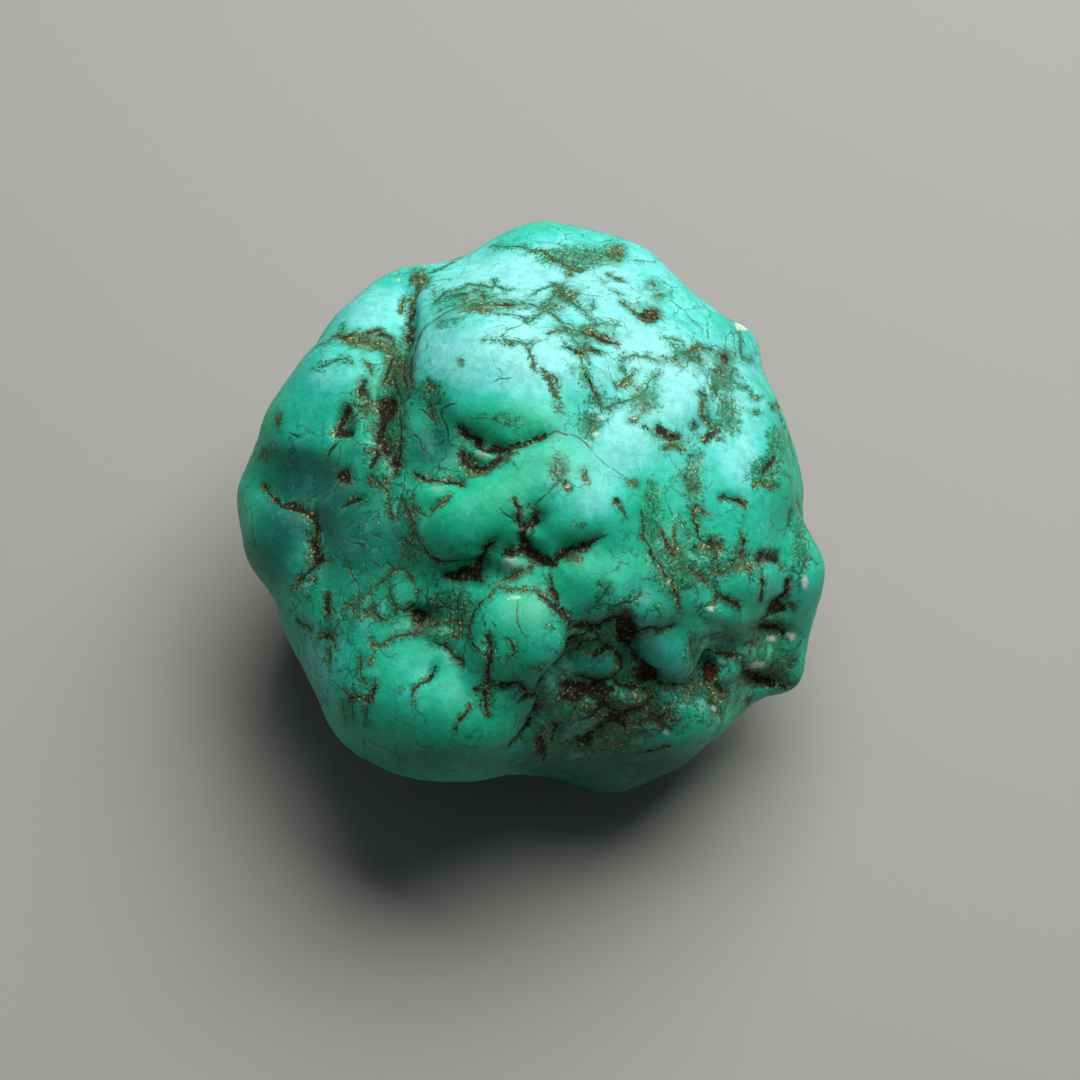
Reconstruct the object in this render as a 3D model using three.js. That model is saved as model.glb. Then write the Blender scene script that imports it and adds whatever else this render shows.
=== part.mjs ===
// A raw turquoise nugget: one solid stone of swollen, tumbled lobes with folds between them.
// Millimetres, +Z up. The origin is on the surface the stone rests on, under the middle of its box.
//
// The lobes are charted on the display face, the side with the deepest folds, which leans back
// from the upright. Its own axes are across (u, to the right), up the face (v) and out of it (w).
import * as THREE from "three";
import { mergeVertices } from "three/addons/utils/BufferGeometryUtils.js";

const FACE_TILT_DEG = 55; // the display face looks this far above the horizon
const DATUM = new THREE.Vector3(1.05, -1.5, 15.4); // where u = v = w = 0, in the part's own frame
const CORE_CENTRE = [-0.6, 3.2, 0]; // u, v, w
const CORE_RADII = [27, 29, 20]; // half width, half depth and half height of the core
const FOLD_FILLET = 2.2; // how softly one lobe runs into the next
const HOLLOW_FILLET = 1.8; // and a hollow's rim into the lobes around it
const REST_ROUNDING = 2.0; // worn edge around the facet that it rests on
const TRIANGLES_PER_EDGE = 20; // of each icosahedron edge: 20 * 20^2 triangles in all
const SEARCH_RADIUS = 48; // a sphere that holds the whole stone
const SEARCH_STEPS = 90;
const SEARCH_PACE = 0.6; // share of the estimated distance that each step goes
const FACET_SNAP = 2e-3; // a corner this near the resting plane is put on it
const MERGE_GAP = 1e-4; // joins the repeated corners of the unit ball

// Each lobe is a round-ended ridge along the surface of the core: its crest runs from one charted
// point (u, v) to another, its radius is the roundness of the ridge, and rise is how far the crest
// stands proud of the core. A lobe on the far side of the stone says so.
const LOBES = [
  { name: "crown", crest: [[-4.8, 16.2], [-1, 14.6]], radius: 10.5, rise: 5.1 },
  { name: "crown_shelf", crest: [[6, 21.5], [12, 18]], radius: 8, rise: 2.4 },
  { name: "crown_ledge", crest: [[-10.5, 10], [-10, 9]], radius: 3.4, rise: 1.1 },
  { name: "back_shoulder", crest: [[0.5, 29.5], [8, 27.5]], radius: 8, rise: 2.8 },
  { name: "right_shoulder", crest: [[12, 24], [16.5, 21]], radius: 6, rise: 1.8 },
  { name: "shoulder_knob", crest: [[20.2, 19.8], [20.2, 19.6]], radius: 2.4, rise: 1.6 },
  { name: "upper_left", crest: [[-15, 25], [-19, 21.5]], radius: 7, rise: 1.6 },
  { name: "left_cheek", crest: [[-21, 16], [-24.5, 11.5]], radius: 7.5, rise: 2.6 },
  { name: "left_heel", crest: [[-27.4, 4.5], [-26.2, 0]], radius: 5.5, rise: 2.9 },
  { name: "left_flank", crest: [[-23, -8], [-20.5, -14]], radius: 8, rise: 1.6 },
  { name: "middle", crest: [[-7.2, 1.4], [-3, 3.4]], radius: 7, rise: 3.4 },
  { name: "middle_brow", crest: [[1, 5.5], [5.5, 3.5]], radius: 8, rise: 4.0 },
  { name: "middle_foot", crest: [[4, -1.5], [7.5, -5]], radius: 7, rise: 3.6 },
  { name: "front_knob", crest: [[-2.4, -9.2], [-1.4, -11]], radius: 5.6, rise: 3.9 },
  { name: "front_left", crest: [[-16, -14], [-7, -17]], radius: 9, rise: 4.2 },
  { name: "front_right", crest: [[7.5, -22.5], [13.2, -21.2]], radius: 5.5, rise: 3.0 },
  { name: "front_right_step", crest: [[14, -17.5], [19.5, -15.5]], radius: 5, rise: 2.4 },
  { name: "saddle", crest: [[11, 9], [13, -3]], radius: 10, rise: 2.0 },
  { name: "right_cheek", crest: [[20, 12.5], [21.5, 6]], radius: 6.5, rise: 2.2 },
  { name: "right_jowl", crest: [[19, 1.5], [20, -3.5]], radius: 6, rise: 1.8 },
  { name: "right_lip", crest: [[24.8, -3.5], [25.2, -9.5]], radius: 5, rise: 3.4 },
  { name: "right_spur", crest: [[22.5, -12.5], [25.4, -13.6]], radius: 2.4, rise: 5.0 },
  { name: "pale_button", crest: [[13.2, 13.6], [13.8, 13.2]], radius: 3.2, rise: 2.4 },
  { name: "back_top", crest: [[-8, 22], [2, 16]], radius: 11, rise: 1.8, far: true },
  { name: "back_left", crest: [[-18, 8], [-14, 0]], radius: 10, rise: 2.2, far: true },
  { name: "back_right", crest: [[14, 12], [17, 4]], radius: 9, rise: 2.4, far: true },
];

// Hollows are the opposite: ditches along the same kind of charted line, sunk below the core.
const HOLLOWS = [
  { name: "left_fold", line: [[-13.5, 25], [-14.5, 14]], radius: 2.2, sink: -0.6 },
  { name: "under_middle", line: [[5, -12.5], [11, -12.5]], radius: 5, sink: 0.5 },
];

const tilt = THREE.MathUtils.degToRad(FACE_TILT_DEG);
const ACROSS = new THREE.Vector3(1, 0, 0);
const UP_FACE = new THREE.Vector3(0, Math.sin(tilt), Math.cos(tilt));
const OUT = new THREE.Vector3(0, -Math.cos(tilt), Math.sin(tilt));

/** A charted point (u, v, w) in the part's own frame. */
function fromChart([u, v, w = 0]) {
  return DATUM.clone().addScaledVector(ACROSS, u).addScaledVector(UP_FACE, v).addScaledVector(OUT, w);
}

const coreCentre = fromChart(CORE_CENTRE);
const coreRadii = new THREE.Vector3(...CORE_RADII);

/** Where a line square to the display face, through (u, v), meets the core, or comes nearest to it. */
function onCore([u, v], far = false) {
  const start = fromChart([u, v, 0]).sub(coreCentre).divide(coreRadii);
  const along = OUT.clone().divide(coreRadii);
  const a = along.dot(along);
  const b = start.dot(along);
  const c = start.dot(start) - 1;
  const root = Math.sqrt(Math.max(0, b * b - a * c));
  const step = (-b + (far ? -root : root)) / a;
  const hit = start.addScaledVector(along, step).normalize(); // a point on the unit sphere
  const normal = hit.clone().divide(coreRadii).normalize();
  return { point: hit.multiply(coreRadii).add(coreCentre), normal };
}

/** A ridge's or ditch's end: the charted point on the core, moved out along the core's normal. */
function ridgeEnd(chart, out, far) {
  const { point, normal } = onCore(chart, far);
  return point.addScaledVector(normal, out);
}

const ridges = LOBES.map(({ crest, radius, rise, far }) => ({
  line: new THREE.Line3(...crest.map((end) => ridgeEnd(end, rise - radius, far))),
  radius,
}));
const ditches = HOLLOWS.map(({ line, radius, sink }) => ({
  line: new THREE.Line3(...line.map((end) => ridgeEnd(end, radius - sink, false))),
  radius,
}));

/** About how far a point is outside the core. */
function coreDistance(point) {
  const scaled = point.clone().sub(coreCentre).divide(coreRadii);
  const slope = scaled.clone().divide(coreRadii).length();
  const length = scaled.length();
  return (length * (length - 1)) / Math.max(slope, 1e-6);
}

const nearest = new THREE.Vector3();

function capsuleDistance(point, { line, radius }) {
  return line.closestPointToPoint(point, true, nearest).distanceTo(point) - radius;
}

/** The smaller of two distances, with the corner between them filled over a width of fillet. */
function smoothMin(a, b, fillet) {
  const h = Math.max(fillet - Math.abs(a - b), 0) / fillet;
  return Math.min(a, b) - (h * h * fillet) / 4;
}

const smoothMax = (a, b, fillet) => -smoothMin(-a, -b, fillet);

/** About how far a point is outside the stone; negative inside it. */
function stoneDistance(point) {
  const joined = ridges.reduce(
    (distance, ridge) => smoothMin(distance, capsuleDistance(point, ridge), FOLD_FILLET),
    coreDistance(point),
  );
  const hollowed = ditches.reduce(
    (distance, ditch) => smoothMax(distance, -capsuleDistance(point, ditch), HOLLOW_FILLET),
    joined,
  );
  return smoothMax(hollowed, -point.z, REST_ROUNDING);
}

/** Moves a unit direction out to the stone's surface, coming in from the search sphere. */
function toSurface(direction) {
  let reach = SEARCH_RADIUS;
  for (let i = 0; i < SEARCH_STEPS; i++) {
    reach -= SEARCH_PACE * stoneDistance(coreCentre.clone().addScaledVector(direction, reach));
  }
  return coreCentre.clone().addScaledVector(direction, reach);
}

function stoneGeometry() {
  const ball = new THREE.IcosahedronGeometry(1, TRIANGLES_PER_EDGE - 1);
  ball.deleteAttribute("normal");
  ball.deleteAttribute("uv");
  const geometry = mergeVertices(ball, MERGE_GAP);
  const position = geometry.getAttribute("position");
  const corner = new THREE.Vector3();
  for (let i = 0; i < position.count; i++) {
    const { x, y, z } = toSurface(corner.fromBufferAttribute(position, i).normalize());
    position.setXYZ(i, x, y, Math.abs(z) < FACET_SNAP ? 0 : z);
  }
  geometry.computeVertexNormals();
  return geometry;
}

const turquoise = new THREE.MeshStandardMaterial({ color: 0x3fbfae, roughness: 0.42, metalness: 0 });
const nugget = new THREE.Mesh(stoneGeometry(), turquoise);
nugget.name = "nugget";

const stone = new THREE.Group();
stone.add(nugget);

export default stone;
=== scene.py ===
"""Looks of a raw turquoise nugget: one tumbled, folded stone with brown matrix in its creases."""
import math

import bmesh
import bpy
import numpy as np
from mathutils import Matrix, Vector, noise


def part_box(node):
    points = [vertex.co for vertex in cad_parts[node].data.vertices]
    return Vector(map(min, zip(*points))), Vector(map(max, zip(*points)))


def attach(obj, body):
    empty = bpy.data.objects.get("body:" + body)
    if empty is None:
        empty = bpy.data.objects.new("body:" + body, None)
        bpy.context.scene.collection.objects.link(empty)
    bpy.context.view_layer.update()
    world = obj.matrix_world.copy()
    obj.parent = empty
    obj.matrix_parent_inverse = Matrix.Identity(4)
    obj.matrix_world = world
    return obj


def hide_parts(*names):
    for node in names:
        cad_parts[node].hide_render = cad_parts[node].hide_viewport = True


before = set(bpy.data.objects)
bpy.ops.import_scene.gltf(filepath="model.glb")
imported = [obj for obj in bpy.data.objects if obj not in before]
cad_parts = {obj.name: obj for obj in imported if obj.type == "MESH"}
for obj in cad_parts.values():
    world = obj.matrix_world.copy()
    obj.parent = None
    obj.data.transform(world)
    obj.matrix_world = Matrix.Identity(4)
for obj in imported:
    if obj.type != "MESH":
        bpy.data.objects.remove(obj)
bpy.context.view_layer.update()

# ---- The display face ---------------------------------------------------------------------------
# The side of the stone with the deepest folds. Everything on it is charted in millimetres as an eye
# in front of it sees it: u to the right, v up the face, from a datum inside the stone.
MM = 0.001
FACE_TILT = math.radians(55)  # the face looks this far above the horizon
EYE_DISTANCE = 450 * MM
DATUM_FROM_MIDDLE = Vector((1.05, -1.5, -5.8)) * MM

low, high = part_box("nugget")
datum = (low + high) / 2 + DATUM_FROM_MIDDLE
across = Vector((1, 0, 0))
up_face = Vector((0, math.sin(FACE_TILT), math.cos(FACE_TILT)))
out_of_face = Vector((0, -math.cos(FACE_TILT), math.sin(FACE_TILT)))
eye = datum + out_of_face * EYE_DISTANCE


# ---- The stone's body ---------------------------------------------------------------------------
# One natural nugget, turquoise with limonite matrix grown through it, worn round in a tumbler. The
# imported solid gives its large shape; here it is made fine enough to carry lumps, creases and pits.
MATH = "ShaderNodeMath"
VECTOR_MATH = "ShaderNodeVectorMath"
NOISE = "ShaderNodeTexNoise"


def add_node(tree, kind, inputs=(), out=0, **settings):
    """Adds one node. inputs gives its sockets, in order or by name, values or other nodes' outputs."""
    node = tree.nodes.new(kind)
    for name, value in settings.items():
        setattr(node, name, value)
    for key, value in inputs.items() if isinstance(inputs, dict) else enumerate(inputs):
        if isinstance(value, bpy.types.NodeSocket):
            tree.links.new(value, node.inputs[key])
        else:
            node.inputs[key].default_value = value
    return node.outputs[out] if len(node.outputs) else node


def merged_copy(name, cad_object):
    """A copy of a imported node's mesh, with its loose triangles joined."""
    shape = bmesh.new()
    shape.from_mesh(cad_object.data)
    bmesh.ops.remove_doubles(shape, verts=shape.verts, dist=0.001 * MM)
    mesh = bpy.data.meshes.new(name)
    shape.to_mesh(mesh)
    shape.free()
    piece = bpy.data.objects.new(name, mesh)
    bpy.context.scene.collection.objects.link(piece)
    return piece


TUMBLED_SIZES = {
    "Lump Width": 6.5 * MM,
    "Lump Height": 0.22 * MM,
    "Ripple Width": 2.2 * MM,
    "Ripple Height": 0.05 * MM,
    "Vein Cell": 11.0 * MM,
    "Vein Sway": 5.0 * MM,
    "Flat Height": 1.5 * MM,  # below this the worn flat is left alone
}
TUMBLED_SEED = 7.0


def tumbled_surface_tree(material):
    """Nodes that refine the solid, raise soft lumps on it and measure a wandering net of veins."""
    tree = bpy.data.node_groups.new("tumbled_surface", "GeometryNodeTree")
    tree.interface.new_socket("Geometry", in_out="INPUT", socket_type="NodeSocketGeometry")
    tree.interface.new_socket("Geometry", in_out="OUTPUT", socket_type="NodeSocketGeometry")
    for name in (*TUMBLED_SIZES, "Seed"):
        tree.interface.new_socket(name, in_out="INPUT", socket_type="NodeSocketFloat")
    given = tree.nodes.new("NodeGroupInput").outputs
    place = add_node(tree, "GeometryNodeInputPosition")
    normal = add_node(tree, "GeometryNodeInputNormal")

    def swell(width, height):
        """Soft noise, up to a height, whose lumps are a width across."""
        per_metre = add_node(tree, MATH, (1.0, given[width]), operation="DIVIDE")
        cloud = add_node(
            tree, NOISE, {"Vector": place, "W": given["Seed"], "Scale": per_metre, "Detail": 2.0},
            noise_dimensions="4D",
        )
        centred = add_node(tree, MATH, (cloud, 0.5), operation="SUBTRACT")
        double = add_node(tree, MATH, (given[height], 2.0), operation="MULTIPLY")
        return add_node(tree, MATH, (centred, double), operation="MULTIPLY")

    fine = add_node(tree, "GeometryNodeSubdivisionSurface", {"Mesh": given["Geometry"], "Level": 2})
    lumps = swell("Lump Width", "Lump Height")
    ripples = swell("Ripple Width", "Ripple Height")
    height = add_node(tree, MATH, (lumps, ripples), operation="ADD")
    level = add_node(tree, "ShaderNodeSeparateXYZ", (place,), out="Z")
    fade = add_node(
        tree, "ShaderNodeMapRange", {"Value": level, "From Min": 0.0, "From Max": given["Flat Height"]},
        interpolation_type="SMOOTHSTEP",
    )
    kept = add_node(tree, MATH, (height, fade), operation="MULTIPLY")
    move = add_node(tree, VECTOR_MATH, {0: normal, "Scale": kept}, operation="SCALE")
    raised = add_node(tree, "GeometryNodeSetPosition", {"Geometry": fine, "Offset": move})

    per_sway = add_node(tree, MATH, (1.0, given["Vein Sway"]), operation="DIVIDE")
    sway = add_node(tree, NOISE, {"Vector": place, "Scale": per_sway, "Detail": 3.0}, out="Color")
    swing = add_node(tree, VECTOR_MATH, (sway, (0.5, 0.5, 0.5)), operation="SUBTRACT")
    swing = add_node(tree, VECTOR_MATH, {0: swing, "Scale": given["Vein Sway"]}, operation="SCALE")
    swayed = add_node(tree, VECTOR_MATH, (place, swing), operation="ADD")
    per_cell = add_node(tree, MATH, (1.0, given["Vein Cell"]), operation="DIVIDE")
    net = add_node(
        tree, "ShaderNodeTexVoronoi", {"Vector": swayed, "Scale": per_cell}, out="Distance",
        feature="DISTANCE_TO_EDGE",
    )
    net_distance = add_node(tree, MATH, (net, given["Vein Cell"]), operation="MULTIPLY")
    measured = add_node(
        tree, "GeometryNodeStoreNamedAttribute",
        {"Geometry": raised, "Name": "net", "Value": net_distance},
        data_type="FLOAT", domain="POINT",
    )
    real = add_node(tree, "GeometryNodeRealizeInstances", {"Geometry": measured})
    finished = add_node(tree, "GeometryNodeSetMaterial", {"Geometry": real, "Material": material})
    tree.links.new(finished, tree.nodes.new("NodeGroupOutput").inputs["Geometry"])
    return tree


def shaped_by(piece, tree, values):
    """The plain mesh that a tree of nodes makes of a piece."""
    modifier = piece.modifiers.new(tree.name, "NODES")
    modifier.node_group = tree
    for item in tree.interface.items_tree:
        if item.in_out == "INPUT" and item.name in values:
            modifier[item.identifier] = values[item.name]
    evaluated = piece.evaluated_get(bpy.context.evaluated_depsgraph_get())
    mesh = bpy.data.meshes.new_from_object(evaluated)
    piece.modifiers.remove(modifier)
    piece.data = mesh
    return mesh


turquoise = bpy.data.materials.new("tumbled_turquoise_with_limonite_matrix")
stone = merged_copy("turquoise_nugget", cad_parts["nugget"])
shaped_by(stone, tumbled_surface_tree(turquoise), {**TUMBLED_SIZES, "Seed": TUMBLED_SEED})


def per_vertex(mesh, what):
    """One of a mesh's vectors, such as co or normal, for each vertex."""
    values = np.empty(len(mesh.vertices) * 3)
    mesh.vertices.foreach_get(what, values)
    return values.reshape(-1, 3)


def smoothstep(start, end, x):
    """Runs smoothly from 0 to 1 as x goes from start to end."""
    t = np.clip((x - start) / (end - start), 0, 1)
    return t * t * (3 - 2 * t)


# ---- Swellings and dents ------------------------------------------------------------------------
# Broad shapes inside a lobe that wear has left: the crown's overhang, the pebbles that sit in the
# folds, and the sunk plates beside them. Each is a soft mound on the chart, in millimetres.
SWELLINGS = (  # u, v, half width, half height, rise
    (-3.2, 11.4, 6.6, 3.0, 1.0),  # the crown's lip over the fold
    (-6.0, 8.6, 1.2, 0.8, 0.6),  # pebble caught in the crown's fold
    (-3.0, -2.4, 1.3, 1.1, 0.6),  # pebble in the middle vein
    (4.4, 2.8, 5.0, 3.8, 0.9),
    (-6.2, 2.4, 5.0, 3.4, 0.7),
    (4.6, -5.0, 3.6, 3.0, 0.6),
    (-11.6, 4.6, 1.6, 1.2, 0.3),
    (-13.6, -5.2, 1.6, 1.8, 0.6),
    (-15.8, -6.7, 1.1, 1.3, 0.3),
    (-16.2, 7.2, 1.1, 1.3, 0.3),
    (-17.8, 9.6, 1.6, 1.2, 0.3),
    (-9.9, -9.4, 1.2, 1.1, 0.4),
    (-13.0, -18.6, 8.0, 5.6, 2.1),
    (-8.6, -18.6, 5.0, 4.4, 0.8),
    (-2.0, -9.8, 5.0, 4.4, 0.6),
    (-5.2, -12.8, 2.0, 2.6, 0.7),
    (0.4, -9.4, 3.0, 4.4, 0.7),
    (-4.6, -9.4, 2.0, 3.4, 0.4),
    (13.7, 13.4, 2.5, 2.3, 0.5),
    (10.9, -7.4, 1.8, 1.7, 0.8),
    (12.5, -11.8, 2.7, 2.4, 1.3),
    (5.9, -12.5, 2.7, 1.6, 0.9),
    (8.8, -15.7, 2.3, 1.2, 0.9),
    (4.8, -16.5, 1.3, 1.0, 0.5),
    (13.4, -16.4, 2.0, 1.6, 0.5),
    (4.6, -9.4, 1.6, 1.0, 0.4),
    (17.4, -7.3, 1.1, 1.0, 0.5),
    (19.5, -7.8, 1.1, 1.3, 0.4),
    (11.0, -20.0, 3.6, 1.8, 0.6),
    (21.7, -11.8, 1.8, 1.5, 0.7),
    (19.0, -13.4, 1.3, 1.4, 0.4),
    (20.5, -4.4, 2.6, 2.0, 0.4),
    (17.8, 7.0, 3.4, 4.6, 0.7),
    (-25.4, -0.6, 2.8, 4.0, 0.3),
    (15.5, -18.6, 4.0, 2.0, 0.7),
)
DENTS = (  # u, v, half width, half height, depth
    (-15.4, 12.4, 1.6, 3.2, 0.5),
    (-19.6, 11.6, 1.0, 1.8, 0.4),
    (-13.4, 21.0, 1.0, 5.0, 0.5),
    (-24.4, 6.2, 4.0, 2.4, 1.0),
    (-22.4, -0.5, 1.8, 4.0, 0.6),
    (-10.5, 11.6, 1.4, 2.6, 0.6),
    (-6.4, -3.2, 3.4, 1.2, 0.6),
    (-11.8, -7.8, 1.8, 1.1, 0.7),
    (8.8, -9.4, 0.8, 2.6, 0.5),
    (10.2, -13.4, 1.4, 0.7, 0.6),
    (3.0, -12.0, 1.0, 3.0, 0.4),
    (17.0, -13.0, 0.9, 1.3, 2.2),
    (23.2, -9.0, 1.4, 0.6, 0.4),
    (22.8, -14.2, 1.8, 0.6, 0.5),
    (23.8, -6.8, 1.2, 1.0, 0.5),
    (17.8, -10.6, 2.2, 1.0, 0.6),
    (22.8, -1.8, 2.0, 0.8, 0.3),
)


MOUND_POWER = 1.5  # above 1, a mound has a flatter top and a steeper foot


def seen_from_eye(places):
    """Where each place is charted, in mm, how far out it is, and how squarely it faces the eye."""
    offset = places - np.array(eye)
    depth = -(offset @ np.array(out_of_face))
    scale = EYE_DISTANCE / depth / MM
    return (offset @ np.array(across)) * scale, (offset @ np.array(up_face)) * scale, depth


FACES_AWAY = -0.05  # cosine of the angle between a face and the eye, where marks start to show
FACES_EYE = 0.2  # and where they are whole


def facing_eye(places, normals):
    """How far each place faces the eye, from 0 to 1."""
    to_eye = np.array(eye) - places
    to_eye /= np.linalg.norm(to_eye, axis=1, keepdims=True)
    return smoothstep(FACES_AWAY, FACES_EYE, np.einsum("ij,ij->i", normals, to_eye))


def set_places(mesh, places):
    """Moves the vertices, and keeps the worn flat flat."""
    places[:, 2] = np.maximum(places[:, 2], 0)
    mesh.vertices.foreach_set("co", places.ravel())
    mesh.update()


places = per_vertex(stone.data, "co")
normals = per_vertex(stone.data, "normal")
chart_u, chart_v, _ = seen_from_eye(places)
front = facing_eye(places, normals)
rise = np.zeros(len(places))
for sign, mounds in ((1, SWELLINGS), (-1, DENTS)):
    for u, v, half_width, half_height, size in mounds:
        reach = ((chart_u - u) / half_width) ** 2 + ((chart_v - v) / half_height) ** 2
        rise += sign * size * np.exp(-reach**MOUND_POWER)
set_places(stone.data, places + normals * (rise * front * MM)[:, None])

# ---- Veins, folds and stains --------------------------------------------------------------------
# Matrix, the brown and ochre iron-stained rock that the turquoise grew in, fills the creases. The
# tumbler wears it below the harder turquoise. Each line is drawn on the chart, in millimetres.
FOLDS = (  # half width, depth, route: creases deep enough to part two lobes, filled with dark matrix
    (0.36, 1.1, (
        (-8.4, 11.3), (-7.7, 10.6), (-6.9, 10.0), (-6, 9.55), (-5, 9.2), (-4, 9.1), (-3, 9.4),
    )),
    (0.40, 0.9, ((-3.4, 9.2), (-2.6, 9.5), (-1.8, 9.8), (-1, 10.1), (0, 10.35), (0.9, 10.6))),
    (0.32, 0.6, ((-8, 9), (-7.8, 8.1), (-7, 7.4), (-6.2, 7.2), (-5.2, 7.5), (-4.3, 8.2), (-3.2, 9))),
    (0.22, 0.9, ((-12.6, 6.8), (-12, 6.3), (-11.3, 6.0), (-10.5, 6.1), (-9.7, 6.05), (-8.9, 6.1))),
    (0.36, 0.8, ((-9.8, 6.1), (-9.1, 6.2), (-8.4, 6.1), (-7.8, 5.6))),
    (0.50, 1.1, ((-1.7, 0.2), (-1.6, -0.7), (-1.0, -1.5), (-0.2, -2.1), (0.6, -2.4), (1.2, -2.3))),
    (0.34, 1.2, (
        (1.1, -2.3), (1.7, -1.7), (2.4, -1.2), (3.2, -1), (4, -0.9), (4.8, -0.6), (5.5, -0.1),
    )),
    (0.13, 0.5, ((5.4, -0.2), (5.9, 0.1), (6.5, 0.5))),
    (0.52, 1.2, ((-9.6, -3.8), (-8.5, -3.7), (-7.5, -3.5), (-6.7, -3.4), (-6, -2.8), (-5.7, -2))),
    (0.34, 0.9, ((-5.8, -2.2), (-5.4, -1.4), (-4.9, -0.8), (-4.4, -0.3))),
    (0.16, 0.9, (
        (-12.4, 0.9), (-12, 0), (-11.6, -0.8), (-11, -1.6), (-10.3, -2.1), (-9, -2.3), (-6.6, -2.4),
    )),
    (0.30, 0.7, ((-3.6, -1.4), (-2.7, -1.2), (-1.8, -1))),
    (0.16, 1.1, ((-7.2, -9.6), (-6.9, -8.2), (-6.6, -7.3), (-5.8, -6.3), (-5, -5.5), (-4.5, -5))),
    (0.20, 1.0, ((0, -5.5), (0.8, -6), (1.4, -6.7), (2.1, -7.5), (2.7, -8.2), (3.2, -8.8))),
    (0.20, 0.8, ((0.9, -3.4), (1, -4.2), (1.25, -5), (1.6, -5.8), (2, -6.6), (2.5, -7.3), (3, -8.2))),
    (0.32, 1.6, (
        (3.6, -10.2), (3.1, -11.2), (2.7, -12.2), (2, -13.1), (1.2, -14), (0.5, -15), (-0.2, -15.9),
    )),
    (0.26, 1.2, ((-0.2, -15.9), (-1, -16.2), (-1.8, -16.4))),
    (0.30, 1.4, ((0.1, -16), (0.1, -17.2), (-0.3, -18.6), (-1.2, -19.8), (-2.6, -20.9))),
    (0.26, 0.9, ((-4.8, -14.7), (-3.8, -14.9), (-2.8, -14.8), (-1.8, -15), (-1, -15.8))),
    (0.34, 0.8, (
        (-28, 5.6), (-27, 4.8), (-26, 4.1), (-25, 3.7), (-24, 3.3), (-23.2, 2.7), (-22.6, 1.8),
    )),
    (0.36, 0.7, (
        (-22.6, 1.8), (-22.6, 0.8), (-22.8, -0.2), (-22.6, -1.2), (-22.8, -2.2), (-23.6, -3.2),
        (-24.4, -4.2),
    )),
    (0.38, 0.9, ((-13.0, 23.2), (-13.3, 22.2), (-13.3, 21.1), (-13.3, 20.1), (-13.2, 19.2))),
    (0.36, 0.8, ((3.6, -8.6), (4.4, -8.6), (5.4, -9), (6.2, -8.8), (7, -8.3), (8, -7.9))),
    (0.50, 0.9, ((8.0, -8.0), (8.4, -8.8), (8.7, -9.6), (8.9, -10.3))),
    (0.24, 0.8, (
        (8.9, -10.3), (9.1, -11.2), (9.5, -12.2), (10.2, -13.0), (11.2, -13.8), (12.2, -14.5),
    )),
    (0.24, 0.6, ((9.2, -9.7), (10.2, -9.4), (11.3, -9.2), (12.4, -9.2), (13.3, -8.9))),
    (0.42, 0.5, ((6.8, -15), (5.8, -15), (4.6, -15.2), (3.4, -15.6), (2.4, -15.9))),
    (0.40, 0.4, ((2.2, -14.6), (3.4, -14.6), (4.6, -14.9))),
    (0.34, 0.5, ((21.9, -8.7), (22.8, -8.7), (23.8, -9), (24.6, -9.5))),
    (0.26, 0.5, ((3.6, -11.2), (4.4, -10.5), (5.8, -10.4), (7.4, -10.9), (8.4, -11.9), (8.3, -13.1))),
    (0.24, 0.5, ((8.3, -13.1), (7.4, -14.0), (6.0, -14.3), (4.6, -14.1), (3.5, -13.6))),
    (0.26, 0.5, (
        (6.5, -15.4), (7.5, -14.6), (9.2, -14.4), (10.8, -14.8), (11.3, -15.8), (10.4, -16.9),
    )),
    (0.24, 0.4, ((10.4, -16.9), (8.8, -17.3), (7.1, -17.0), (6.3, -16.2), (6.5, -15.4))),
    (0.24, 0.4, ((3.7, -16.4), (4.0, -15.6), (5.0, -15.2), (6.0, -15.8), (6.1, -17.0), (5.2, -17.7))),
    (0.34, 0.7, ((20.4, -13.4), (21.4, -13.6), (22.4, -14), (23.4, -14.5), (24.6, -14.8))),
    (0.30, 0.6, ((22.0, -8.4), (23.0, -7.8), (23.6, -7), (24.4, -6), (24.9, -5), (24.8, -4))),
    (0.28, 0.7, ((16.4, -11.4), (17.4, -11.4), (18.6, -11.3), (19.6, -11.4))),
    (0.50, 0.9, ((-1.9, 1.5), (-1.2, 1.3), (-0.6, 1.7), (-0.4, 2.4), (-0.6, 3.1))),
    (0.16, 0.6, ((-2.6, 4.1), (-2.3, 3.6), (-1.9, 3.2), (-2.3, 2.4), (-2.2, 1.7))),
    (0.26, 0.5, ((-1.6, 1.2), (-1.7, 0.4), (-1.6, -0.4))),
)
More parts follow.
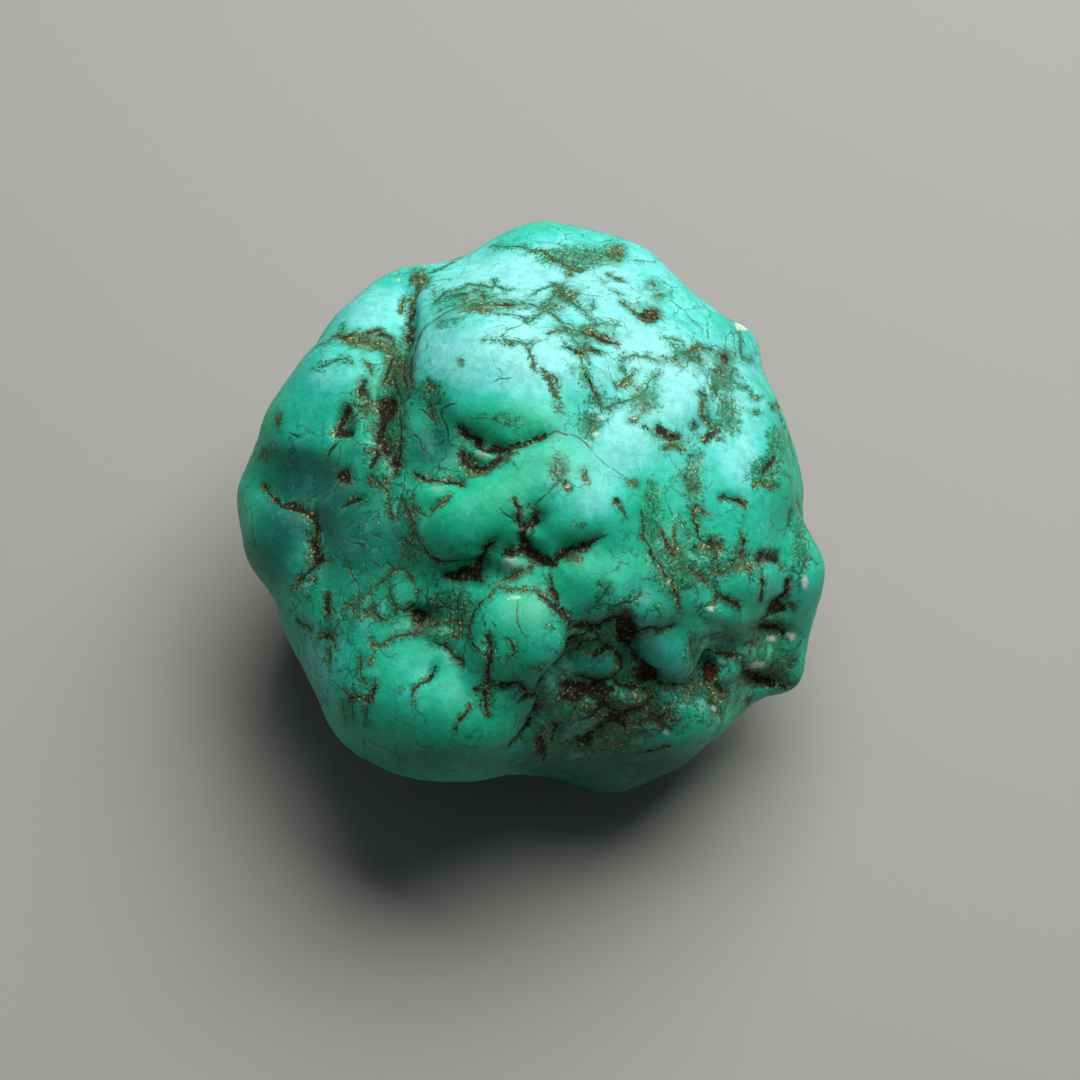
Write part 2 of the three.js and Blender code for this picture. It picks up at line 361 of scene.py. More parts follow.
MATRIX_VEINS = (  # the same, but shallow
    (0.90, 0.5, ((-15.2, 13.8), (-15.4, 12.8), (-15.7, 12))),
    (0.55, 0.5, ((-15.7, 12.2), (-16, 11.2), (-16, 10.3), (-15.6, 9.4), (-15.1, 8.9))),
    (0.40, 0.5, ((-14.3, 8.9), (-14.6, 8.1), (-14.5, 7.3), (-14.6, 6.6))),
    (0.42, 0.5, ((-16.3, 9.1), (-16.8, 8.3), (-17.1, 7.4))),
    (0.42, 0.5, ((-19.2, 13.1), (-19.8, 12), (-20.2, 11), (-19.9, 10.6), (-19, 10.5))),
    (0.14, 0.3, ((-19.8, 10.1), (-20.5, 9.6), (-21, 8.8), (-21.2, 8.0))),
    (0.45, 0.4, ((-19.9, 6.1), (-19.5, 6.6), (-19.3, 7.0))),
    (0.24, 0.3, ((-19.7, 3.2), (-19, 3.8), (-18.3, 4), (-17.6, 4.2))),
    (0.32, 0.2, ((-17.9, 16.1), (-17.6, 15.5), (-18, 14.8), (-18.2, 14.2))),
    (0.22, 0.2, ((-20.9, 20.3), (-20.2, 20.4), (-19.6, 20.1), (-18.9, 20.6), (-18.2, 21.1))),
    (0.20, 0.2, (
        (-17.5, 20.0), (-17, 20.8), (-16.2, 21.2), (-15.5, 20.6), (-14.8, 20.1), (-14.5, 19.2),
    )),
    (0.14, 0.3, ((-11.5, 21.4), (-12, 20.5), (-12.4, 19.5), (-12.8, 18), (-12.9, 16.5), (-12.7, 15))),
    (0.17, 0.2, ((-14.6, 18.6), (-15, 17.2), (-15.5, 16), (-15.8, 15.2))),
    (0.16, 0.2, ((-14.1, 18.6), (-14.3, 17.4), (-14.6, 16.4), (-14.4, 15.4), (-14, 14.4))),
    (0.13, 0.2, ((-13.4, 18.8), (-13.7, 17.6), (-13.6, 16.4), (-13.3, 15.2))),
    (0.15, 0.2, ((-14, 13), (-14, 11.4), (-13.9, 10), (-14.1, 9))),
    (0.42, 0.2, ((-4.4, 23.5), (-3.3, 23.6), (-2.2, 23.8), (-1, 23.7))),
    (0.26, 0.2, ((-1, 23.7), (-0.2, 23.4), (0.6, 23.1))),
    (0.26, 0.2, ((4.2, 20.9), (5, 20.6), (5.8, 20.3), (6.6, 20), (7.8, 19.6))),
    (0.18, 0.2, (
        (2.7, 19.3), (3.3, 18.9), (4, 18.7), (4.5, 18.7), (5, 19.1), (5.6, 18.9), (6.2, 18.8),
    )),
    (0.18, 0.3, ((4.4, 17.2), (4.7, 16.3), (5.1, 15.4), (5.5, 14.5), (5.9, 13.9), (6.1, 13.3))),
    (0.45, 0.2, ((10.2, 22.6), (10.9, 22.5), (11.5, 22.2))),
    (0.34, 0.2, ((18.2, 18.4), (18.5, 18), (18.8, 17.5))),
    (0.40, 0.2, ((11.9, 11.3), (12.4, 10.7), (13, 10.3), (14, 10.2))),
    (0.22, 0.2, ((16.3, 9.8), (16.9, 10.4), (17.4, 10.9))),
    (0.26, 0.3, ((18.1, 4.2), (18.8, 4.4), (19.2, 4.1), (19.9, 4), (20.5, 3.7), (20.8, 3.2))),
    (0.26, 0.3, (
        (15.5, 3.2), (15.3, 2.5), (15.8, 1.5), (15.9, 0.7), (16.2, 0), (16.8, -0.3), (17.6, -0.4),
    )),
    (0.30, 0.2, ((16.9, -0.3), (17.5, -0.2), (18.0, -0.5), (17.2, -0.9))),
    (0.40, 0.3, ((21.6, -1.9), (22.3, -1.6), (23, -1.7), (23.8, -2.1), (24.4, -2.7))),
    (0.24, 0.2, ((20.3, 0.3), (20.5, -0.6), (20.4, -1.5), (19.8, -1.3))),
    (0.26, 0.2, ((22.3, -3.9), (22.3, -5), (22.2, -6))),
    (0.30, 0.3, ((22.4, 6.6), (22.8, 7.2), (23.3, 7.8), (23.6, 8.3))),
    (0.20, 0.3, ((17.4, -6.2), (18, -5.6), (18.5, -5.8), (19.2, -6.2), (20, -6.9))),
    (0.20, 0.3, ((12.2, 1.1), (12.3, 0.5), (12.5, -0.2), (12.9, -1), (13.4, -1.8))),
    (0.18, 0.4, (
        (10.2, 3.2), (10.3, 2), (10.4, 0.5), (10.7, -0.5), (11.3, -1.5), (12, -2.5), (12.6, -3.6),
        (13.3, -4.6),
    )),
    (0.13, 0.3, ((13.3, -4.6), (13.8, -5.6), (14, -6.6))),
    (0.30, 0.5, ((-5.4, -9.6), (-5.2, -10.5), (-5, -11.5))),
    (0.26, 0.5, ((-5, -11.3), (-5.1, -12.4), (-5.3, -13.4), (-5.4, -14.6))),
    (0.22, 0.5, ((-6.9, -10.2), (-6.3, -10.9), (-5.7, -11.5))),
    (0.26, 0.4, ((-5.4, -14.6), (-5.4, -15.6), (-5.3, -16.6), (-5.1, -17.4))),
    (0.20, 0.5, ((-6.6, -15.1), (-5.8, -15.1), (-5.2, -14.9))),
    (0.18, 0.4, ((-3.3, -9.9), (-2.9, -10.2), (-2.6, -10.9), (-2.7, -11.5), (-3.3, -12.0))),
    (0.55, 0.5, ((-12.6, -7.4), (-12, -7.7), (-11.4, -7.8))),
    (0.24, 0.4, (
        (-10.5, -10.2), (-9.8, -10.5), (-9.2, -11), (-8.6, -11.6), (-8, -12.1), (-7.7, -12.6),
    )),
    (0.28, 0.6, ((-10.6, -12.6), (-10.9, -13.3), (-11.2, -13.9))),
    (0.16, 0.5, ((-11.2, -13.9), (-12, -14.2), (-12.6, -14.8), (-12.9, -15.6))),
    (0.16, 0.3, ((-7.1, -16.7), (-7.4, -17.4), (-8.1, -18.2), (-8.3, -19.2))),
    (0.30, 0.3, ((-21.2, -5.6), (-21.5, -6.4), (-21.3, -7.4))),
    (0.34, 0.3, ((-22.2, -9.8), (-21.4, -9.5), (-20.8, -10.2), (-20.5, -10.9))),
    (0.18, 0.3, ((-19.5, -15), (-19.1, -15.8), (-18.4, -15.8), (-17.8, -15.7), (-17, -16))),
    (0.22, 0.3, ((-16.6, -13.9), (-16.4, -14.7), (-16.6, -15.6), (-17.3, -16.3))),
    (0.40, 0.2, ((5.5, -11.6), (6, -11.2), (6.5, -11))),
    (0.24, 0.4, ((3.8, -9.9), (4.6, -9.7), (5.3, -9.3), (6, -9.9), (6.3, -10.7))),
    (0.36, 0.5, ((7.2, -17.8), (8, -18.1), (8.6, -18.9))),
    (0.40, 0.6, ((5.6, -19), (6.4, -18.6), (4.6, -20.2), (3.6, -19.9))),
    (0.20, 0.3, ((10.2, -21.1), (11, -21), (11.8, -20.9), (12.7, -20.6))),
    (0.30, 0.3, ((1.2, -18.2), (1.7, -18.8), (1.3, -20.2))),
    (0.34, 0.5, ((17.6, -14.4), (18.1, -14.8), (18.5, -15.3))),
    (0.20, 0.4, ((8.8, -13.3), (9.4, -13.0), (10.2, -13.6))),
    (0.18, 0.3, ((13.2, -14.4), (14, -14.6), (14.9, -14.2), (15.5, -13.4))),
)
OCHRE_VEINS = (  # half width, depth, route: olive to golden limonite, worn almost level
    (0.60, 0.3, ((-11.9, 26.5), (-12.1, 25.9), (-12.4, 25.3))),
    (0.50, 0.5, ((-12.3, 25.6), (-12.7, 24.6), (-13.0, 23.4))),
    (0.20, 0.2, ((-13.7, 24.3), (-13.9, 23.5), (-13.8, 22.9))),
    (0.16, 0.2, ((-11, 26.7), (-10, 27.1), (-9, 27.7), (-8, 28.2))),
    (0.26, 0.2, (
        (-19.7, 20.0), (-18.5, 19.9), (-17.3, 19.9), (-16.5, 19.3), (-15.5, 19.2), (-14.7, 19.2),
    )),
    (0.22, 0.1, ((-17.6, 17.9), (-17, 17.2), (-16.8, 16.6))),
    (0.24, 0.1, ((-17.4, 15), (-17.3, 14.2), (-17.2, 13.3), (-16.7, 12.9))),
    (0.24, 0.2, ((-7.9, 23.9), (-7.1, 23.6), (-6, 23.6), (-5.2, 23.7), (-4.4, 23.5))),
    (0.26, 0.1, ((-5.8, 24.8), (-5.6, 24.2), (-5.5, 23.7))),
    (0.30, 0.0, ((-7, 23.1), (-6, 22.95), (-5, 23.1))),
    (0.16, 0.1, ((-7, 25.6), (-5.7, 25.5), (-5, 25.4))),
    (0.18, 0.2, ((0.5, 23.1), (1.2, 22.6), (2, 21.9), (3, 21.6), (3.8, 21.1))),
    (0.20, 0.1, ((1.3, 25.7), (2.0, 24.7), (2.5, 24.3), (3.3, 24.3), (3.9, 24.6))),
    (0.20, 0.1, ((0.9, 20.7), (1.4, 20.9), (1.7, 20.8))),
    (0.22, 0.0, ((0.2, 17.1), (0.7, 16.2), (1.1, 15.4), (1.5, 14.6), (2.2, 13.6))),
    (0.12, 0.0, ((1.2, 16.6), (1.6, 16), (1.8, 15.4))),
    (0.12, 0.0, ((-1.1, 19), (-0.9, 18), (-0.7, 17.4), (-0.3, 16.8))),
    (0.16, 0.0, ((-3.1, 19.8), (-2.8, 19.5))),
    (0.26, 0.1, ((-11.2, 16.2), (-11.1, 15.5), (-10.6, 15.1))),
    (0.20, 0.2, ((-11.1, 13.7), (-10.8, 12.8), (-10.5, 12.1))),
    (0.34, 0.2, ((1.2, 28.3), (2, 28), (2.6, 27.5), (3.2, 27.1), (4.3, 27.1))),
    (0.16, 0.1, ((-0.5, 28.9), (0.5, 28.7), (1.3, 28.3))),
    (0.20, 0.0, ((6.8, 26.6), (7.5, 26.1), (8.4, 25.9))),
    (0.30, 0.1, ((8.1, 23.9), (8.8, 23.3), (9.6, 22.7), (10.4, 22.2), (11.4, 21.8))),
    (0.28, 0.1, ((14.6, 18.8), (15.4, 19.2), (16.2, 19.4), (17.2, 19.1))),
    (0.30, 0.1, ((16.2, 14.4), (16.4, 13.4), (16.2, 12.5), (17, 11.4), (17.8, 10.8))),
    (0.24, 0.1, ((7.6, 15.4), (8.4, 15.8), (9, 16.4), (9.4, 16.9))),
    (0.26, 0.1, ((12.4, 9.1), (13.3, 9.6), (14, 9.2), (14.6, 8.9))),
    (0.34, 0.1, ((2.4, 5.6), (2.9, 5.2))),
    (0.26, 0.1, ((4.5, 6.9), (4.4, 6.3), (4.7, 5.9))),
    (0.16, 0.1, ((7.8, 3.6), (8.1, 3.1), (8.5, 2.5))),
    (0.34, 0.4, ((-11.4, 2.4), (-11, 3.1), (-10.2, 3.7), (-9.5, 4), (-9.1, 4.6))),
    (0.18, 0.3, ((-12.6, 4.4), (-12.7, 3.4), (-12.2, 2.8), (-11.4, 2.4))),
    (0.26, 0.2, (
        (-8, 7.6), (-7.4, 6.9), (-6.6, 6.6), (-5.6, 6.9), (-4.6, 7.5), (-3.4, 8.3), (-2.4, 8.8),
    )),
    (0.20, 0.3, ((-16.9, 5.9), (-15.9, 5.6), (-15.3, 4.9), (-15.1, 4), (-15, 3), (-14.7, 2))),
    (0.36, 0.1, ((-15.4, 6.0), (-15.2, 5.4))),
    (0.22, 0.4, (
        (-14, 4.3), (-13.6, 3.5), (-13.1, 2.7), (-12.8, 2), (-12.6, 1.2), (-12.8, 0.4), (-13.4, -0.4),
    )),
    (0.26, 0.3, ((-4.4, -4.1), (-3.5, -3.9), (-2.6, -3.7), (-1.9, -3.1), (-1.2, -2.7))),
    (0.22, 0.5, ((-4.8, -5), (-4, -4.7), (-3, -4.85), (-2, -5), (-1, -4.9), (0, -5.3))),
    (0.18, 0.3, ((2.3, -1.7), (3.1, -1.7), (3.9, -1.9))),
    (0.20, 0.3, (
        (-17, -4.9), (-16, -4.5), (-15.3, -3.8), (-14.6, -3.1), (-13.3, -2.9), (-12.9, -3.8),
        (-12.5, -4.5),
    )),
    (0.13, 0.3, ((-15, -4), (-15.1, -5.4), (-14.5, -6.7), (-13.3, -7.1), (-12.3, -6), (-12.1, -5))),
    (0.13, 0.2, ((-16.7, -6.4), (-16.6, -7.4), (-15.8, -8), (-15.0, -8.0), (-14.4, -7.4))),
    (0.18, 0.3, (
        (-16.8, -10.9), (-15.6, -10.5), (-14.6, -9.8), (-13.4, -9.4), (-12.2, -9.3), (-11.2, -9.4),
    )),
    (0.40, 0.4, ((-12.2, -8.4), (-11.6, -8.3))),
    (0.20, 0.2, ((-10, -8.1), (-9.2, -8.3), (-8.4, -8.2), (-7.6, -8.1))),
    (0.20, 0.2, ((-9.1, -9.5), (-8.4, -9.7), (-7.8, -9.3))),
    (0.20, 0.2, ((-18.1, -11.5), (-18.0, -12.6), (-17.9, -13.6), (-17.4, -14.4))),
    (0.26, 0.2, ((-17.0, -9.9), (-16.7, -10.3))),
    (0.26, 0.1, ((-17.2, -12.3), (-16.8, -11.6))),
    (0.30, 0.1, ((-24.4, -8), (-23.5, -8.7), (-23, -9))),
    (0.24, 0.2, ((-21.2, -10.8), (-21.1, -11.6), (-21.1, -12.3))),
    (0.24, 0.1, ((-19.3, -6.3), (-18.9, -6.6))),
    (0.24, 0.2, ((14.3, -2.7), (15, -2.9), (15.8, -3.3), (16.3, -3.9), (16.8, -4.7))),
    (0.20, 0.1, ((13.5, 1.5), (13.5, 0.3), (13.7, -0.8), (14.2, -1.6))),
    (0.26, 0.1, ((16.3, 2.9), (16.8, 2.5))),
    (0.24, 0.2, ((17, -2.9), (17.8, -3.3), (18.5, -3.3), (19, -2.9), (19.7, -2.6), (20.3, -2.3))),
    (0.24, 0.1, ((21.4, 5.3), (22, 5.9), (22.9, 5.4), (23.8, 5.3))),
    (0.40, 0.1, ((14.9, 6.4), (15.1, 5.6), (15.6, 5.0))),
    (0.34, 0.3, ((20.4, -11.8), (20.3, -12.4), (20.6, -13))),
    (0.34, 0.2, ((17.1, -15.2), (17.2, -16.2), (17.6, -17.0), (18.2, -17.8))),
    (0.26, 0.2, ((20.6, -15.8), (21, -16.4), (21.4, -15.6))),
    (0.30, 0.3, ((9.4, -18.6), (10.4, -18.4), (11.4, -18), (12.6, -18.6))),
    (0.30, 0.3, ((24.2, -13.4), (25, -12.8), (25.4, -11.8))),
    (0.26, 0.2, ((25.3, -6.4), (25.5, -6.9))),
    (0.30, 0.2, ((22.2, -9.6), (21.6, -10.2), (20.8, -10.4))),
)
GREEN_SEAMS = (  # half width, depth, route: chrysocolla-green seams with no brown in them
    (0.16, 0.1, ((-10.5, 23.6), (-9.8, 24.4), (-9, 24.9), (-8, 25.1), (-7, 25.5), (-5.8, 25.5))),
    (0.20, 0.1, ((-5, 25.4), (-4.4, 25.4), (-3.8, 25.1), (-2.7, 25.1))),
    (0.12, 0.1, ((-4.6, 26.2), (-4.4, 25.5))),
    (0.12, 0.1, ((-10.2, 22.9), (-9.2, 23.3), (-8.2, 23.5))),
    (0.14, 0.1, (
        (2.1, 25.5), (2.4, 24.8), (2.8, 24.1), (3.4, 23.7), (4.2, 23.1), (4.8, 22.4), (5.4, 22.1),
    )),
    (0.10, 0.1, ((-0.8, 24.4), (-0.2, 24.9), (0.7, 25.2), (1.5, 25.6))),
    (0.16, 0.1, ((0.6, 23.4), (1.2, 24.3), (1.9, 25.1), (2.4, 25.6))),
    (0.16, 0.1, ((2.4, 21.3), (3.4, 20.5), (4.2, 20.5), (4.9, 20.7))),
    (0.14, 0.1, ((4.9, 20.6), (4.6, 19.6), (4.2, 18.8))),
    (0.12, 0.1, ((3.1, 20.6), (3.6, 19.7), (4.1, 19.0))),
    (0.12, 0.1, ((4, 21.1), (4.9, 21.4), (6, 21.5), (7.5, 21.6))),
    (0.12, 0.1, (
        (-5.6, 19.9), (-4.5, 19.9), (-3.5, 20.1), (-2.8, 20), (-2, 19.8), (-1.5, 19.5), (-1.1, 19.8),
    )),
    (0.10, 0.1, ((-3.9, 22.8), (-2.8, 22.6), (-1.8, 22.3), (-1.2, 21.8), (-0.5, 22.3), (0.3, 22.9))),
    (0.10, 0.1, ((1.5, 13.4), (2.1, 12.8))),
    (0.34, 0.1, ((4.5, 29), (6, 28.8), (7.4, 28.4))),
    (0.12, 0.1, ((-4.6, 29.4), (-3.2, 29.4), (-1.6, 29.2), (-0.6, 28.9))),
    (0.24, 0.1, ((7.4, 25), (8.1, 24.6))),
    (0.20, 0.1, ((12.5, 20.3), (13.5, 20), (14.3, 19.8))),
    (0.34, 0.1, ((13.4, 19.4), (14, 18.8), (15, 18.5), (16, 18.2))),
    (0.14, 0.2, ((20, 21.4), (19.9, 20.5), (19.9, 19.3), (20.3, 18.3), (21.2, 17.9))),
    (0.30, 0.1, ((19.4, 17.2), (19.1, 16.5), (19.3, 15.8), (20, 15.4), (20.9, 15))),
    (0.20, 0.2, (
        (6.3, 13), (7.3, 13.4), (8.3, 13.8), (9.3, 14.2), (10, 14.4), (10.7, 15.2), (11.2, 16.2),
        (12, 16.9),
    )),
    (0.12, 0.1, ((8.3, 18), (9.5, 18.4), (10.7, 18.3), (11.7, 18))),
    (0.10, 0.1, ((24, 12.5), (24.4, 11.5), (24.8, 10.5), (25, 9.5), (25.4, 8.5))),
    (0.45, 0.1, ((4.7, 12), (5.1, 11.3), (4.8, 10.6))),
    (0.30, 0.1, ((1.6, 7.8), (1.5, 6.8), (1.9, 6.1))),
    (0.50, 0.2, ((16, 8.7), (15.4, 8), (15.2, 7))),
    (0.55, 0.2, ((15.2, 7), (15.2, 6), (15.5, 5), (15.8, 4))),
    (0.40, 0.2, ((10.9, 5.6), (11.6, 5.2), (11, 4.2), (11.4, 3.2), (12, 2.2))),
    (0.45, 0.2, ((11.3, 2.6), (11.6, 1), (11.6, -0.6), (12.4, -2.2))),
    (0.14, 0.2, ((14, 2.2), (14.6, 1.2), (15, 0.2))),
    (0.14, 0.1, ((-22.5, 17.2), (-21.5, 17.5), (-20.5, 17.8), (-19.5, 18.2), (-19, 17.7))),
    (0.16, 0.1, ((-22.6, 19), (-21.8, 19.6), (-21, 20.1))),
    (0.14, 0.1, ((-19.8, 21.5), (-19.8, 20.3))),
    (0.45, 0.1, ((21.6, 5.6), (22.1, 6.4), (22.9, 6.2))),
    (0.40, 0.1, ((23.2, 9.8), (23.6, 9), (24, 8.2))),
    (0.40, 0.2, ((26, 1.2), (26.3, 0), (26.4, -1.2), (26.6, -2.4))),
    (0.30, 0.2, ((25.2, 3), (25, 2.3), (24.9, 1.5))),
    (0.24, 0.2, ((6.1, -4.6), (6.6, -5.1), (6.2, -5.8), (5.8, -6.6), (5, -7))),
    (0.10, 0.2, ((7, -6.7), (8, -6.4), (9, -6.2), (10, -5.7), (10.8, -5.4))),
    (0.24, 0.1, ((11.4, -6.6), (12, -7.2), (12.3, -7.8))),
    (0.20, 0.3, ((15.6, -7.4), (16.2, -6.8), (16.9, -6.4))),
    (0.14, 0.2, ((17.4, -4), (17.5, -5), (17.7, -5.7))),
    (0.34, 0.3, ((15.2, -10), (15.3, -11), (15.6, -12), (15.6, -13.2))),
    (0.10, 0.1, ((-18.6, -16), (-18.8, -17), (-18.6, -18))),
    (0.10, 0.1, ((-17.3, -16.4), (-17.4, -17.4), (-17.3, -18.4))),
    (0.20, 0.2, ((-19.8, -16.2), (-19.6, -17), (-19.5, -18))),
    (0.14, 0.2, ((-18.2, -5.6), (-18.1, -6.6), (-18, -7.6))),
    (0.18, 0.3, ((-10.2, -6), (-9.5, -6.6), (-9.2, -7.4))),
    (0.12, 0.3, ((-8, -5), (-8.4, -6), (-8.2, -7))),
    (0.24, 0.3, ((10.9, -15.2), (11.2, -16), (11, -16.8), (10, -17.2))),
)
HAIRLINES = (  # half width, greenness, route: cracks too fine to be felt
    (0.07, 0.8, ((-4.6, 20.0), (-3.6, 20.6), (-2.6, 21.3), (-1.6, 21.6))),
    (0.06, 0.8, ((-5.0, 15.6), (-4, 16.1), (-2.8, 16.2))),
    (0.05, 1.0, ((-4.8, 18.5), (-4.7, 17.4))),
    (0.05, 1.0, ((-4.2, 17.2), (-3.8, 16.7))),
    (0.05, 1.0, ((-4.8, 21.3), (-3.8, 21.4))),
    (0.07, 0.6, ((4.8, 19.7), (4.4, 20.4), (3.9, 21.0))),
    (0.09, 0.5, ((4.0, 18.6), (4.2, 18.1), (4.3, 17.4))),
    (0.06, 0.8, ((6.7, 19.0), (7.2, 18.3), (7.8, 17.6), (8.2, 17.0))),
    (0.06, 0.9, ((1.5, 20.2), (2.4, 19.6), (3.2, 18.8))),
    (0.05, 0.9, ((2.4, 17.4), (3.2, 17.5), (3.9, 17.6))),
    (0.09, 0.5, ((0.9, 10.6), (1.6, 10.9), (2.5, 10.5), (3.8, 10.3), (4.7, 9.8), (5.1, 9.0))),
    (0.06, 0.6, ((5, 9), (5.7, 8.3), (6.4, 7.7), (7.2, 7.1), (7.8, 6.6), (8.5, 6.2), (9.3, 5.7))),
    (0.05, 1.0, ((-0.9, 19.6), (0.2, 20), (1.4, 20.1))),
    (0.05, 0.9, ((1.8, 20.8), (2.8, 21), (3.6, 21.1))),
    (0.11, 0.2, ((-12.1, 13.1), (-11.2, 12.5), (-10.6, 11.8), (-10.4, 11.1))),
    (0.13, 0.2, ((-10, 13), (-9.8, 12.2), (-9.4, 11.3), (-9.3, 10.4), (-9.2, 9.6))),
    (0.10, 0.3, ((-9.8, 13.1), (-9, 13.4), (-8.4, 13.5))),
    (0.10, 0.4, ((-13, 11), (-12.5, 10.5), (-12, 10), (-11.8, 9.2), (-11.2, 8.6))),
    (0.07, 0.6, ((-7, 12.2), (-6, 12.2), (-5, 12), (-4, 12.3))),
    (0.08, 0.3, ((-4.1, 3.2), (-3.5, 2.5), (-2.8, 2))),
    (0.10, 0.2, ((-0.3, 3.9), (0.6, 4.6), (1.4, 5.3), (2, 5.9))),
    (0.06, 0.7, ((3.0, 5.7), (3.6, 5.3), (4.2, 5.1))),
    (0.08, 0.3, ((-2.3, -6.4), (-2.35, -7.4), (-2.2, -8.3), (-1.7, -9.5), (-1.4, -10.1))),
    (0.08, 0.3, ((-4.8, -8.2), (-4.5, -8.7), (-4.4, -9.2))),
    (0.07, 0.4, ((-1.3, -9.6), (-0.7, -10.4))),
    (0.06, 0.6, ((9.2, -4), (8.6, -4.4))),
    (0.10, 0.3, ((-25.1, 10.8), (-24.6, 10.4), (-24, 10.2))),
    (0.09, 0.4, ((-20, -0.9), (-19.3, -1.8), (-18.9, -3), (-18.5, -4), (-18, -5.2), (-17.8, -6))),
    (0.09, 0.4, ((-18.7, -0.3), (-18, -0.3), (-17.5, -0.8))),
    (0.07, 0.5, ((-17, 2.6), (-16.3, 2.9))),
    (0.07, 0.5, ((-17.8, 2), (-17.2, 1.7))),
    (0.07, 0.5, ((-16.8, 0.6), (-15.8, 0.1))),
    (0.09, 0.4, ((-16.6, -2.2), (-15.9, -2.6))),
    (0.10, 0.3, ((-15.3, -2.2), (-14.6, -2.7))),
    (0.06, 0.8, ((-28.8, 3.5), (-28.8, 1), (-28.3, -1.4))),
    (0.07, 0.5, ((-29.6, 3.4), (-29.3, 2.6))),
    (0.05, 0.9, ((-16.4, -10.9), (-15.4, -11.6), (-14.6, -11.8), (-14.2, -11.4))),
    (0.06, 0.8, ((-22.5, -13.2), (-21.7, -13.8))),
    (0.07, 0.6, ((-20.8, -14), (-20.2, -14.7), (-19.6, -15))),
    (0.06, 0.8, ((-19.7, -13.9), (-19, -13.2), (-18.4, -13))),
    (0.06, 0.7, ((-12.6, -17), (-11.8, -17.4), (-11.4, -18.4))),
    (0.08, 0.5, ((9, -22.2), (10.4, -22.6), (12, -22.3))),
    (0.07, 0.6, ((-2.2, -17.6), (-2.4, -18.4), (-2.8, -19))),
    (0.06, 0.8, ((16.8, 5.2), (17.2, 5.8))),
    (0.06, 0.8, ((7.6, 18.2), (8.4, 18.9), (8.3, 18.2))),
    (0.07, 0.7, ((5.2, 24.6), (5.4, 23.9), (5.3, 23.4))),
    (0.06, 0.8, ((4.2, 24.7), (5.2, 24.5), (6, 24.4))),
    (0.06, 0.8, ((-1.6, 21.5), (-0.8, 21.9), (0.2, 22.9))),
)

